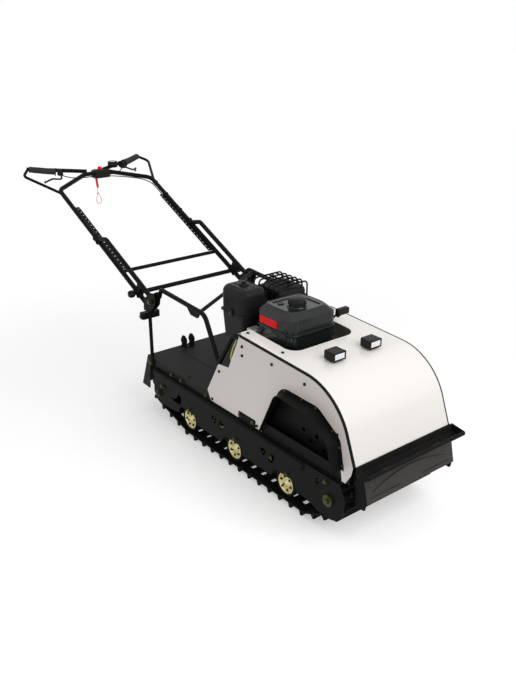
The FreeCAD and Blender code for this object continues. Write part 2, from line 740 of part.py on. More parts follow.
bracket = side_plate([(bumper_rear_x - 3, nose_top_z), (nose_top_x - 4, nose_top_z),
                      (nose_foot_x - 5, nose_foot_z + 2), (nose_foot_x - 12, 168, 8), (654, 168, 8),
                      (650, 230, 10)], -nose_half, -nose_half + 3)
save_pair("nose_brackets", bracket.fuse(side_plate(
    [(bed_front_x - 30, bed_top), (bed_front_x + 1, bed_top), (bed_front_x + 1, bed_top - 22),
     (nose_top_x - 4, bed_top - 22), (nose_top_x - 4, nose_top_z), (bumper_rear_x - 1, nose_top_z),
     (bumper_rear_x - 1, bumper_z + 16), (bed_front_x - 30, bumper_z + 16)],
    -nose_half, -nose_half + 3)).removeSplitter())

# ---- work lights on the cowl ---------------------------------------------------------
light_x, light_y = 390.0, 91.0
light_z = at_top(light_x, 0)
lamps, lenses = [], []
for sign in (-1, 1):
    body = block(light_x - 25, light_x + 25, sign * light_y - 30, sign * light_y + 30, light_z + 5,
                 light_z + 39)
    body = body.makeFillet(4, [edge for edge in body.Edges
                               if abs(edge.Vertexes[0].Point.x - edge.Vertexes[-1].Point.x) > 40])
    recess = block(light_x + 21, light_x + 26, sign * light_y - 24, sign * light_y + 24, light_z + 11,
                   light_z + 33)
    foot = block(light_x - 10, light_x + 10, sign * light_y - 8, sign * light_y + 8, light_z - 0.5,
                 light_z + 6)
    under = band(-60, 0, sign * light_y - 40, sign * light_y + 40, light_x - 60)
    lamps.append(body.cut(recess).fuse(foot.common(under)).removeSplitter())
    lenses.append(block(light_x + 21, light_x + 24, sign * light_y - 24, sign * light_y + 24, light_z + 11,
                        light_z + 33))
save("light_housings", *lamps)
save("light_lenses", *lenses)

# ---- engine ----------------------------------------------------------------------------
save("engine_block", block(engine_rear_x, engine_front_x, -170, 140, bed_top, engine_top))
tank_half = tank_wide / 2
tx0, tx1 = tank_x - tank_long / 2, tank_x + tank_long / 2


def tank_ring(inset, z, corner):
    y0, y1 = tank_y - tank_half + inset, tank_y + tank_half - inset
    pts = [(V(tx0 + inset, y0, z), corner), (V(tx1 - inset, y0, z), corner),
           (V(tx1 - inset, y1, z), corner), (V(tx0 + inset, y1, z), corner)]
    return Part.Wire(run_edges(pts, True))


upper = Part.Face(tank_ring(0, tank_seam_z, 30)).extrude(V(0, 0, tank_top_z - 22 - tank_seam_z))
crown = Part.makeLoft([tank_ring(0, tank_top_z - 22, 30), tank_ring(24, tank_top_z, 22)], True, True)
lower = Part.makeLoft([tank_ring(16, tank_foot_z, 26), tank_ring(5, tank_seam_z, 30)], True, True)
seam = Part.Face(tank_ring(-5, tank_seam_z - 3, 34)).extrude(V(0, 0, 6))
dish = Part.Face(tank_ring(42, tank_top_z - 4, 12)).extrude(V(0, 0, 10))
tank = upper.fuse([crown, lower, seam]).cut(dish).removeSplitter()
save("fuel_tank", tank)
cap_x, cap_y = tank_x + 22, -22.0
cap_body = Part.makeCylinder(cap_dia / 2 - 7, 12, V(cap_x, cap_y, tank_top_z - 4))
cap_top = Part.makeCylinder(cap_dia / 2, 26, V(cap_x, cap_y, tank_top_z + 8))
save("fuel_cap", cap_body.fuse(cap_top).removeSplitter())
badge_y = tank_y - tank_half
save("tank_badge", side_plate([(tx0 + 25, tank_seam_z + 8, 4), (tx0 + 131, tank_seam_z + 8, 4),
                               (tx0 + 131, tank_seam_z + 38, 4), (tx0 + 25, tank_seam_z + 38, 4)],
                              badge_y - 1.6, badge_y))

fx0, fx1, fy0, fy1 = filter_rear_x, filter_front_x, filter_right_y, filter_left_y


def filter_ring(inset, z, corner):
    pts = [(V(fx0 + inset, fy0 + inset, z), corner), (V(fx1 - inset, fy0 + inset, z), corner),
           (V(fx1 - inset, fy1 - inset, z), corner), (V(fx0 + inset, fy1 - inset, z), corner)]
    return Part.Wire(run_edges(pts, True))


ledge_z = filter_foot_z + 120
case_low = Part.makeLoft([filter_ring(14, filter_foot_z, 14), filter_ring(6, ledge_z - 6, 18)], True, True)
ledge = Part.Face(filter_ring(0, ledge_z - 6, 20)).extrude(V(0, 0, 6))
case_top = block(fx0 + 2, fx1 - 2, fy0 + 2, fy1 - 2, ledge_z, filter_top_z)
case_top = case_top.makeFillet(36, [edge for edge in case_top.Edges
                                    if abs(edge.Vertexes[0].Point.z - edge.Vertexes[-1].Point.z) > 50])
case_top = case_top.makeFillet(28, [edge for edge in case_top.Edges
                                    if edge.CenterOfMass.z > filter_top_z - 1])
knob = Part.makeCylinder(19, 7, V((fx0 + fx1) / 2, (fy0 + fy1) / 2, filter_top_z - 2))
knob = knob.fuse(Part.makeCylinder(11, 14, V((fx0 + fx1) / 2, (fy0 + fy1) / 2, filter_top_z - 2)))
save("air_filter", case_low.fuse([ledge, case_top, knob]).removeSplitter())
intake = rod(V(fx1 - 12, -110, 545), V(engine_rear_x, -110, 545), 44)
save("carburettor", intake.cut(case_low))

muffler = block(-215, -62, 30, 165, 560, 690)
muffler = muffler.makeFillet(22, [edge for edge in muffler.Edges
                                  if abs(edge.Vertexes[0].Point.y - edge.Vertexes[-1].Point.y) > 100])
save("muffler", muffler.fuse(rod(V(-70, 90, 563), V(engine_rear_x, 90, 563), 14)).removeSplitter())


def guard_hoop(x):
    return tube([(V(x, 22, 640), 0), (V(x, 22, 712), 18), (V(x, 174, 712), 18), (V(x, 174, 600), 0)], 5)


hoops = [guard_hoop(x) for x in (-220, -188, -156, -124, -92, -60)]
runs = [rod(V(-222.5, y, 712), V(-57.5, y, 712), 5) for y in (60, 98, 136)]
runs += [rod(V(-222.5, 174, z), V(-57.5, 174, z), 5) for z in (604, 650)]
runs.append(rod(V(-222.5, 22, 644), V(-57.5, 22, 644), 5))
pegs = [rod(V(x, 98, 690), V(x, 98, 712), 6) for x in (-188, -92)]
save("muffler_guard", hoops[0].fuse(hoops[1:] + runs + pegs).removeSplitter())
starter = block(178, 206, 120, 184, 642, 672)
starter = starter.makeFillet(7, [edge for edge in starter.Edges if edge.Length > 60])
save("starter_handle", starter.fuse(rod(V(192, 132, engine_top), V(192, 132, 643), 14)).removeSplitter())

# ---- handlebar support frame --------------------------------------------------------------
lean = math.radians(bar_angle)
back = V(-math.cos(lean), 0, math.sin(lean))
rise = V(math.sin(lean), 0, math.cos(lean))
pivot = V(pivot_x, 0, pivot_z)


def bar_point(along, off, y):
    """Point at a distance along the handlebar from its hinge, and square to it."""
    p = pivot.add(back * along).add(rise * off)
    return V(p.x, y, p.z)


support = tube([(V(-558, -support_half, 590), 0), (V(-540, -support_half, 629), 24),
                (V(-214, -support_half, 612), 44), (V(-166, -leg_half, 500), 120),
                (V(-40, -leg_half, bed_top - 14), 0)], support_od)
support = support.cut(block(-200, 60, -leg_half - 30, -leg_half + 30, 200, bed_top))
support = support.cut(block(-200, deck_front_x, -leg_half - 30, -leg_half + 30, 200, deck_top))
brace = rod(V(-250, -support_half + 6, 613), V(-500, support_half - 6, 626), 16)
save("support_brace", brace.cut([support, other_side(support)]))
gusset = side_plate([(-345, 613, 0), (-245, 607, 0), (-262, 580, 14), (-315, 582, 14)],
                    -support_half - 2, -support_half + 2)
stay = tube([(V(-128, -leg_half, 428), 0), (V(-30, -leg_half, 580), 30), (V(10, -leg_half, 584), 0)], 20)


def hinge_cheek(y0):
    plate = side_plate([(-626, 532, 12), (-570, 532, 14), (-534, 566, 14), (-526, 600, 14), (-546, 622, 14),
                        (-582, 604, 14), (-626, 572, 14)], y0, y0 + 3)
    return plate.cut(cross_rod(pivot_x, pivot_z, y0 - 1, y0 + 4, pin_dia + 2 * fit))


cheek_out = bar_half + bar_od / 2 + slide_air
cheek_in = bar_half - bar_od / 2 - slide_air
tie = cross_rod(-549, 608, -cheek_in + 3, -support_half, 14)
save_pair("support_tubes", support.fuse([gusset, stay, tie]).removeSplitter())
save_pair("hinge_cheeks", hinge_cheek(-cheek_out - 3), hinge_cheek(-cheek_in))
post = rod(V(post_x, -post_y, 250), V(post_x, -post_y, 532), post_od)
post_head = block(post_x - 10, post_x + 44, -cheek_out, -cheek_in, 520, 538)
post_neck = block(post_x - 10, post_x + 12, -cheek_in, -post_y + 10, 520, 531.5)
post_foot = block(post_x - 10, post_x + 10, -deck_half - 6, -deck_half, 248, 276)
save_pair("hinge_posts", post.fuse([post_head, post_neck, post_foot]).removeSplitter())
clamp = plan_plate([(post_x - 17, -post_y - 45, 9), (post_x + 15, -post_y - 45, 9),
                    (post_x + 15, -post_y + 45, 9), (post_x - 17, -post_y + 45, 9)], 482, 510)
save_pair("post_clamps", clamp.cut(rod(V(post_x, -post_y, 400), V(post_x, -post_y, 600), post_od)))
pin = cross_rod(pivot_x, pivot_z, -cheek_out - 11, -cheek_in + 11, pin_dia)
pin = pin.fuse([cross_rod(pivot_x, pivot_z, -cheek_out - 11, -cheek_out - 3, 18),
                cross_rod(pivot_x, pivot_z, -cheek_in + 3, -cheek_in + 11, 18)])
save_pair("hinge_bolts", pin)

# hitch bracket on the deck's rear edge
hitch = side_plate([(deck_rear_x + 6, deck_top), (deck_rear_x + 46, deck_top),
                    (deck_rear_x + 40, deck_top + 58, 10),
                    (deck_rear_x + 12, deck_top + 58, 10)], -64, -58)
hitch_b = hitch.copy()
hitch_b.translate(V(0, 42, 0))
hitch_foot = block(deck_rear_x + 6, deck_rear_x + 46, -64, -16, deck_top, deck_top + 5)
hitch_all = hitch.fuse([hitch_b, hitch_foot]).removeSplitter()
save("hitch_bracket", hitch_all.cut(cross_rod(deck_rear_x + 26, deck_top + 34, -80, 0, hitch_bore)))

# ---- lower handlebar frame -----------------------------------------------------------------
guide_r = bar_od / 2 + slide_air
ring_od = bar_od + 9
upper_axis = rod(bar_point(-40, -bar_drop, -bar_half), bar_point(800, -bar_drop, -bar_half), 2 * guide_r)


def ring_on_upper(t, long):
    """Ring round the upper frame's tube, centred at a distance along the handlebar."""
    return rod(bar_point(t - long / 2, -bar_drop, -bar_half), bar_point(t + long / 2, -bar_drop, -bar_half),
               ring_od)


strip_cut_y = bar_half - bar_od / 2 - strip_wide - 2
passage = block(-60, 60, -bar_half, -strip_cut_y, -bar_drop - 7, -bar_drop + 1)
passage.rotate(V(0, 0, 0), V(0, 1, 0), bar_angle)
passage.translate(V(bar_point(ring_at, 0, 0).x, 0, bar_point(ring_at, 0, 0).z))
lower_tube = tube([(bar_point(-6, 0, -bar_half), 0), (bar_point(lower_long, 0, -bar_half), 36),
                   (bar_point(ring_at - 4, -bar_drop + 4, -bar_half), 0)], bar_od)
lower_tube = lower_tube.fuse(ring_on_upper(ring_at, 34)).cut([upper_axis, passage])
lower_tube = max(lower_tube.Solids, key=lambda piece: piece.Volume)
pivot_hole = cross_rod(pivot_x, pivot_z, -bar_half - bar_od, -bar_half + bar_od, pin_dia + 2 * fit)
save_pair("lower_side_tubes", lower_tube.cut(pivot_hole).removeSplitter())

clamp_ring = ring_on_upper(clamp_bar_at, 36)
web = block(-16, 16, -bar_half - 5, -bar_half + 5, -bar_drop + 8, -6)
web.rotate(V(0, 0, 0), V(0, 1, 0), bar_angle)
web.translate(V(bar_point(clamp_bar_at, 0, 0).x, 0, bar_point(clamp_bar_at, 0, 0).z))
at = bar_point(clamp_bar_at, -bar_drop, 0)
knob = cross_rod(at.x, at.z, -bar_half - 46, -bar_half - 22, 28)
stem = cross_rod(at.x, at.z, -bar_half - 23, -bar_half - 12, 12)
guide = clamp_ring.fuse([web, stem, knob]).cut([upper_axis, lower_tube]).removeSplitter()
save_pair("tube_guides", guide)
clamp_bar = rod(bar_point(clamp_bar_at, -bar_drop, -bar_half + 8),
                bar_point(clamp_bar_at, -bar_drop, bar_half - 8),
                clamp_bar_od)
save("clamp_crossbar", clamp_bar.cut([guide, other_side(guide), upper_axis, other_side(upper_axis)]))

# ---- upper handlebar frame -----------------------------------------------------------------
side_low = bar_point(upper_start, -bar_drop, -bar_half)
side_top = bar_point(upper_end, -bar_drop, -bar_half)
head_x, head_z = side_top.x - head_back, side_top.z + head_up


def at_head(back, y, up):
    """Point behind and above the middle of the handlebar's head."""
    return V(head_x - back, y, head_z + up)


def flip(p):
    return V(p.x, -p.y, p.z)


head_r = at_head(0, -head_half, 0)
head_l = flip(head_r)


u_tube = tube([(side_low, 0), (side_top, 45), (head_r, 40), (head_l, 40), (flip(side_top), 45),
               (flip(side_low), 0)], bar_od)


def adjuster_strip():
    """Flat strip with a row of holes, on the inner side of the tube."""
    y0 = -bar_half + bar_od / 2 - 4
    y1 = -bar_half + bar_od / 2 + strip_wide
    long = strip_holes * hole_pitch
    plate = block(-long, 0, y0, y1, -strip_t / 2, strip_t / 2)
    corners = [edge for edge in plate.Edges
               if abs(edge.Vertexes[0].Point.z - edge.Vertexes[-1].Point.z) > 1
               and edge.Vertexes[0].Point.y > y0 + 5]
    plate = plate.makeFillet(6, corners)
    holes = [Part.makeCylinder(3.6, 3 * strip_t, V(-(i + 0.5) * hole_pitch, y1 - 9, -1.5 * strip_t))
             for i in range(strip_holes)]
    plate = plate.cut(holes)
    plate.rotate(V(0, 0, 0), V(0, 1, 0), bar_angle)
    start = bar_point(strip_at, -bar_drop - 3, 0)
    plate.translate(V(start.x, 0, start.z))
    return plate


half_strip = adjuster_strip()
save("upper_frame", u_tube.fuse([half_strip, other_side(half_strip)]).removeSplitter())
slide_bar = rod(bar_point(slide_bar_at, -bar_drop, -bar_half), bar_point(slide_bar_at, -bar_drop, bar_half),
                slide_bar_od)
save("slide_crossbar", slide_bar.cut([u_tube, half_strip, other_side(half_strip)]))

grip_in = at_head(62, -197, 19)
grip_out = at_head(129, -324, 37)
handle_r = rod(at_head(14, -48, 12), grip_out, 20)
grip_dir = grip_out.sub(grip_in).normalize()
grip = rod(grip_in, grip_out.sub(grip_dir * 14), 32).cut(handle_r)
save_pair("grips", grip)
guard_bar = tube([(grip_out.sub(grip_dir * 6), 0), (at_head(83, -362, 13), 34),
                  (bar_point(upper_end - 32, -bar_drop, -bar_half), 0)], 14)
save_pair("handle_bars", handle_r.fuse(guard_bar).cut(u_tube).removeSplitter())
mount_at = grip_in.sub(grip_dir * 18)
mount = rod(mount_at.sub(grip_dir * 10), mount_at.add(grip_dir * 10), 34).cut(handle_r)
lever = tube([(mount_at.add(V(14, 0, -8)), 0), (at_head(-21, -205, -5), 12), (at_head(11, -240, -3), 16),
              (at_head(57, -262, -25), 0)], 9)
save_pair("lever_mounts", mount)
save_pair("levers", lever.cut(mount))
box_foot, box_top = head_z - 27, head_z + 13
box = block(head_x - 34, head_x + 16, -13, 69, box_foot, box_top)
box = box.makeFillet(4, [edge for edge in box.Edges if edge.Length > 60])
save("control_box", box.cut([u_tube, handle_r, other_side(handle_r)]))
save("switch_block", Part.makeCylinder(26, 34, at_head(29, 112, 13)).cut([other_side(handle_r), u_tube]))
save("kill_switch", Part.makeCylinder(11, 14, V(head_x - 12, 26, box_top)))
clip_foot = box_foot - 46
save("lanyard_clip", side_plate([(head_x + 1, box_foot), (head_x + 11, box_foot),
                                 (head_x + 20, clip_foot, 1), (head_x + 12, clip_foot, 1)], -12, -3))
# The lanyard's loop hangs from its clip, and its end comes back to its neck.
cord = [at_head(-16, -8, -73), at_head(-15, -10, -103), at_head(-13, -20, -135), at_head(-8, -12, -160),
        at_head(-7, 9, -159), at_head(-11, 14, -135), at_head(-15, -6, -103)]
route = [(cord[0], 0)]
for i in range(1, len(cord) - 1):
    p, q, r = cord[i - 1], cord[i], cord[i + 1]
    turn = math.pi - p.sub(q).getAngle(r.sub(q))
    shorter = min(p.distanceToPoint(q), q.distanceToPoint(r))
    route.append((q, 0.45 * shorter / math.tan(turn / 2)))
    print("cord corner", i, "turn", round(math.degrees(turn)), "radius", round(route[-1][1], 1))
route.append((cord[-1], 0))
save("lanyard", tube(route, cord_dia))

# ---- place the whole object and write it ------------------------------------------------
reach = [made[name].optimalBoundingBox(False, False) for name in ("handle_bars", "grips", "bumper")]
middle_x = round((min(box.XMin for box in reach) + max(box.XMax for box in reach)) / 2, 2)
for name in made:
    made[name].translate(V(-middle_x, 0, 0))
    made[name].exportStep("parts/" + name + ".step")
print("middle x", middle_x, "rear", round(min(box.XMin for box in reach), 3), "idler x", round(idler_x, 1))
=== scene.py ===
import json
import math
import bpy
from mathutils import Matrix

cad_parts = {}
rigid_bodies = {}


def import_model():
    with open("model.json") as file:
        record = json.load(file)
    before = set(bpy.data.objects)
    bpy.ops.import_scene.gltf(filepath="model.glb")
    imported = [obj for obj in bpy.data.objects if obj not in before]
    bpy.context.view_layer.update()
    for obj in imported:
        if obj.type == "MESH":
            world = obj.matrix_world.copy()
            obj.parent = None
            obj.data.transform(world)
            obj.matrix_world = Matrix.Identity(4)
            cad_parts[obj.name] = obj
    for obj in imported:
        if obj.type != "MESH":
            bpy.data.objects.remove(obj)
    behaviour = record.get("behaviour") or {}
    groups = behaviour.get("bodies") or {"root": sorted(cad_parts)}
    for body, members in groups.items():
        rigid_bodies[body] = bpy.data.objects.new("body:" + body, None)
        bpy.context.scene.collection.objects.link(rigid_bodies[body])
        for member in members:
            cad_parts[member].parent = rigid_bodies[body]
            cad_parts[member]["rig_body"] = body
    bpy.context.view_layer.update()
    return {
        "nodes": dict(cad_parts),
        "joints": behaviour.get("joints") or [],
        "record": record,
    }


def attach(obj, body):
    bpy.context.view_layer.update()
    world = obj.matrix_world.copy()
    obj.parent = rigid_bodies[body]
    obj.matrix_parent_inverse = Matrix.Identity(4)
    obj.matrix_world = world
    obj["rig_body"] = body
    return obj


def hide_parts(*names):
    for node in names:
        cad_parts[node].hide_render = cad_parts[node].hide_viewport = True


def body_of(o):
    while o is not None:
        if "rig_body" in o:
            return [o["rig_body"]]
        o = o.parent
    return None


bl_info = {
    "name": "Tracked Snow Tug",
    "version": (1, 0, 0),
    "blender": (4, 5, 0),
    "location": "View3D > Sidebar > Tug",
    "description": "Finishes, small parts, lamps and view of a walk-behind tracked snow tug",
    "category": "Add Mesh",
}

import bpy
from mathutils import Matrix, Vector

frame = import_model()
NODES = frame["nodes"]
PIVOT = Vector(frame["joints"][0]["pos_m"])
TILT = math.radians(25.0)
BACK = Vector((-math.cos(TILT), 0, math.sin(TILT)))
RISE = Vector((math.sin(TILT), 0, math.cos(TILT)))
MIDDLE = PIVOT.x + 0.560
UPPER, LOWER = "handlebar_upper", "handlebar_lower"
RIGHT, LEFT, UP, AHEAD = (0, -1, 0), (0, 1, 0), (0, 0, 1), (1, 0, 0)

# Places shared by several pieces, in millimetres
PITCH, LUGS = 64.0, 41
BELT_HALF = 3.0
ROLLER_X, ROLLER_Z = (-350, -26, 298), 79.3
INNER_AHEAD = 112
IDLER_X, IDLER_Z = -564.8, 132.0
DRIVE_X, DRIVE_Z = 556.0, 150.0
WHEELS = [(IDLER_X, IDLER_Z, 53.3), (ROLLER_X[0], ROLLER_Z, 58.3),
          (ROLLER_X[2] + INNER_AHEAD, ROLLER_Z, 58.3), (DRIVE_X, DRIVE_Z, 61.115)]
BAR_DROP, BAR_SIDE = -52.5, -262
TANK_X, TANK_Y, TANK_TOP = 81, -7, 690
FILTER_X, FILTER_Y = -151, -85
PIVOT_X, PIVOT_Z = -560, 576.5
HITCH_X, HITCH_Z = -647, 312
BUTTON_X, BUTTON_Y = -1533, 26
SWITCH_X, SWITCH_Y = -1550, 112
LAMP_Z = 607.85
PANEL_FACE, PLATE_FACE = -244.0, -255.5
DECK_TOP, BED_TOP, BOX_TOP = 278, 268, 968
RECOIL_Z = 470
GUARD_Y = 98


def mm(x, y, z):
    """A place in millimetres from the middle of the track, in metres in the frame."""
    return Vector((x / 1000 + MIDDLE, y / 1000, z / 1000))


def bar(along, off, y):
    """A place along the handlebar from its hinge, square to it and across, in millimetres."""
    p = PIVOT + BACK * (along / 1000) + RISE * (off / 1000)
    return Vector((p.x, y / 1000, p.z))


# ---- values a user would change
def colour(name, text, value):
    return bpy.props.FloatVectorProperty(name=name, description=text, default=value, subtype="COLOR",
                                         size=3, min=0.0, max=1.0)


def length(name, text, value):
    return bpy.props.FloatProperty(name=name, description=text, default=value, unit="LENGTH",
                                   precision=4)


class TugColours(bpy.types.PropertyGroup):
    cowl: colour("Cowl", "Gloss paint of the cowl", (0.80, 0.77, 0.735))
    # The side panels are painted the cowl's white; this darker, pinker copy of it is painted shade for
    # their side, turned away from the key lamp
    panel: colour("Side panels", "Paint of the side panels", (0.72, 0.672, 0.648))
    frame: colour("Frame", "Powder coat of the tubes and plates", (0.0085, 0.0082, 0.0080))
    deck: colour("Deck", "Powder coat of the rear deck", (0.028, 0.028, 0.028))
    nose: colour("Nose plate", "Paint of the lower front plate", (0.0396, 0.0353, 0.0338))
    rubber: colour("Track rubber", "Rubber of the track", (0.0075, 0.0073, 0.0072))
    zinc: colour("Roller discs", "Yellow zinc on the roller discs", (0.68, 0.60, 0.30))
    bolt: colour("Bolts", "Olive zinc on the bolts", (0.040, 0.046, 0.008))
    tank: colour("Fuel tank", "Gloss enamel of the fuel tank", (0.013, 0.0145, 0.0150))
    plastic: colour("Plastic", "Moulded covers and boxes", (0.0110, 0.0105, 0.0102))
    hose: colour("Fuel hose", "Clear yellow-green fuel hose", (0.42, 0.50, 0.06))
    red: colour("Red", "Badge, stop button and lanyard", (0.86, 0.008, 0.012))


class TugSizes(bpy.types.PropertyGroup):
    bolt_across: length("Bolt head", "Width of a bolt head across its flats", 0.013)
    bolt_high: length("Bolt height", "Height of a bolt head", 0.006)
    disc_bolt_across: length("Disc bolt", "Width of a roller disc's bolt head", 0.008)
    panel_bolt_across: length("Panel bolt", "Diameter of a panel's button head", 0.012)
    cord: length("Lanyard", "Diameter of the lanyard cord", 0.0026)
    cable: length("Control cable", "Diameter of a control cable's sheath", 0.005)
    edge: length("Sheet edge", "Rounding of the edges of bent sheet", 0.0007)


class TugView(bpy.types.PropertyGroup):
    lens: bpy.props.FloatProperty(name="Lens", description="Focal length of the camera", default=40.86,
                                  unit="CAMERA")
    pitch: bpy.props.FloatProperty(name="Pitch", description="How far the camera looks down",
                                   default=math.radians(23.07), subtype="ANGLE")
    sun: bpy.props.FloatProperty(name="Key lamp", description="Power of the large lamp, in watts",
                                 default=92.0)


def colours():
    return bpy.context.scene.tug_colours


def sizes():
    return bpy.context.scene.tug_sizes


# ---- finishes
def nodes_of(name):
    mat = bpy.data.materials.new(name)
    mat.use_nodes = True
    tree = mat.node_tree
    return mat, tree, tree.nodes["Principled BSDF"]


def setting(node, **values):
    """Sets a node's inputs, named with _ for each space."""
    for key, value in values.items():
        node.inputs[key.replace("_", " ")].default_value = value
    return node


def object_place(tree):
    return tree.nodes.new("ShaderNodeTexCoord").outputs["Object"]


def noise(tree, coord, scale, detail, rough):
    n = setting(tree.nodes.new("ShaderNodeTexNoise"), Scale=scale, Detail=detail, Roughness=rough)
    tree.links.new(coord, n.inputs["Vector"])
    return n


def ramp(tree, value, stops):
    r = tree.nodes.new("ShaderNodeValToRGB")
    elements = r.color_ramp.elements
    for element, (place, tint) in ((elements[0], stops[0]), (elements[1], stops[-1])):
        element.position = place
        element.color = (*tint, 1)
    for place, tint in stops[1:-1]:
        elements.new(place).color = (*tint, 1)
    tree.links.new(value, r.inputs["Fac"])
    return r.outputs["Color"]


def tinted(tree, shader, value, stops):
    """Gives a shader the colours of a ramp."""
    tree.links.new(ramp(tree, value, stops), shader.inputs["Base Color"])


def spread(tree, value, low, high):
    m = setting(tree.nodes.new("ShaderNodeMapRange"), To_Min=low, To_Max=high)
    tree.links.new(value, m.inputs["Value"])
    return m.outputs["Result"]


def bump(tree, shader, height, strength, distance):
    b = setting(tree.nodes.new("ShaderNodeBump"), Strength=strength, Distance=distance)
    tree.links.new(height, b.inputs["Height"])
    tree.links.new(b.outputs["Normal"], shader.inputs["Normal"])


def mixed(tint, k):
    """A tint made lighter or darker by a factor."""
    return tuple(min(1.0, max(0.0, c * k)) for c in tint)


def coat(name, tint, rough, vary, patch, grain, rise, strength, shine, level):
    """Paint, powder coat, rubber or moulded plastic.

    vary and patch are the strength and scale of its soft patches; grain, rise and strength
    are the scale, depth and weight of its fine grain; shine is its clear coat, level its gloss.
    """
    mat, tree, shader = nodes_of(name)
    coord = object_place(tree)
    large = noise(tree, coord, patch, 4.0, 0.55)
    fine = noise(tree, coord, grain, 2.0, 0.5)
    tinted(tree, shader, large.outputs["Fac"], [(0.25, mixed(tint, 1 - vary)), (0.5, tint),
                                                (0.78, mixed(tint, 1 + vary))])
    tree.links.new(spread(tree, large.outputs["Fac"], rough * 0.82, min(1.0, rough * 1.2)),
                   shader.inputs["Roughness"])
    bump(tree, shader, fine.outputs["Fac"], strength, rise)
    setting(shader, Coat_Weight=shine, Coat_Roughness=0.08, Specular_IOR_Level=level)
    return mat


def plated(name, tint, other, rough):
    """Zinc plate with a shifting tint."""
    mat, tree, shader = nodes_of(name)
    coord = object_place(tree)
    large = noise(tree, coord, 22.0, 5.0, 0.6)
    fine = noise(tree, coord, 700.0, 3.0, 0.6)
    tinted(tree, shader, large.outputs["Fac"], [(0.28, other), (0.55, tint), (0.8, mixed(tint, 1.15))])
    tree.links.new(spread(tree, fine.outputs["Fac"], rough * 0.8, rough * 1.25),
                   shader.inputs["Roughness"])
    bump(tree, shader, fine.outputs["Fac"], 0.2, 0.0001)
    setting(shader, Metallic=0.55)
    return mat


def lamp_glass_painted_reflection(name):
    """Clear front glass of a lamp over a field of small reflectors. The reflectors' shine is painted:
    pale cells, light in the middle and greyer at the rim, are painted reflection.
    """
    mat, tree, shader = nodes_of(name)
    coord = object_place(tree)
    cell = setting(tree.nodes.new("ShaderNodeTexVoronoi"), Scale=110.0)
    tree.links.new(coord, cell.inputs["Vector"])
    # Painted reflection of the reflectors: each cell is near white in its middle and greyer towards its
    # rim
    tinted(tree, shader, cell.outputs["Distance"], [(0.1, (0.95, 0.96, 1.0)),
                                                    (0.75, (0.72, 0.75, 0.80))])
    bump(tree, shader, cell.outputs["Distance"], 0.35, 0.001)
    setting(shader, Roughness=0.06, Coat_Weight=1.0, Coat_Roughness=0.03)
    return mat


def cloth_cord(name, tint):
    """Braided cord, with the braid's pitch in object space."""
    mat, tree, shader = nodes_of(name)
    coord = object_place(tree)
    wave = setting(tree.nodes.new("ShaderNodeTexWave"), Scale=260.0, Distortion=0.4)
    wave.wave_type = "BANDS"
    wave.bands_direction = "DIAGONAL"
    tree.links.new(coord, wave.inputs["Vector"])
    tinted(tree, shader, wave.outputs["Fac"], [(0.2, mixed(tint, 0.7)), (0.7, tint)])
    bump(tree, shader, wave.outputs["Fac"], 0.5, 0.0005)
    setting(shader, Roughness=0.6)
    return mat


FINISH = {}


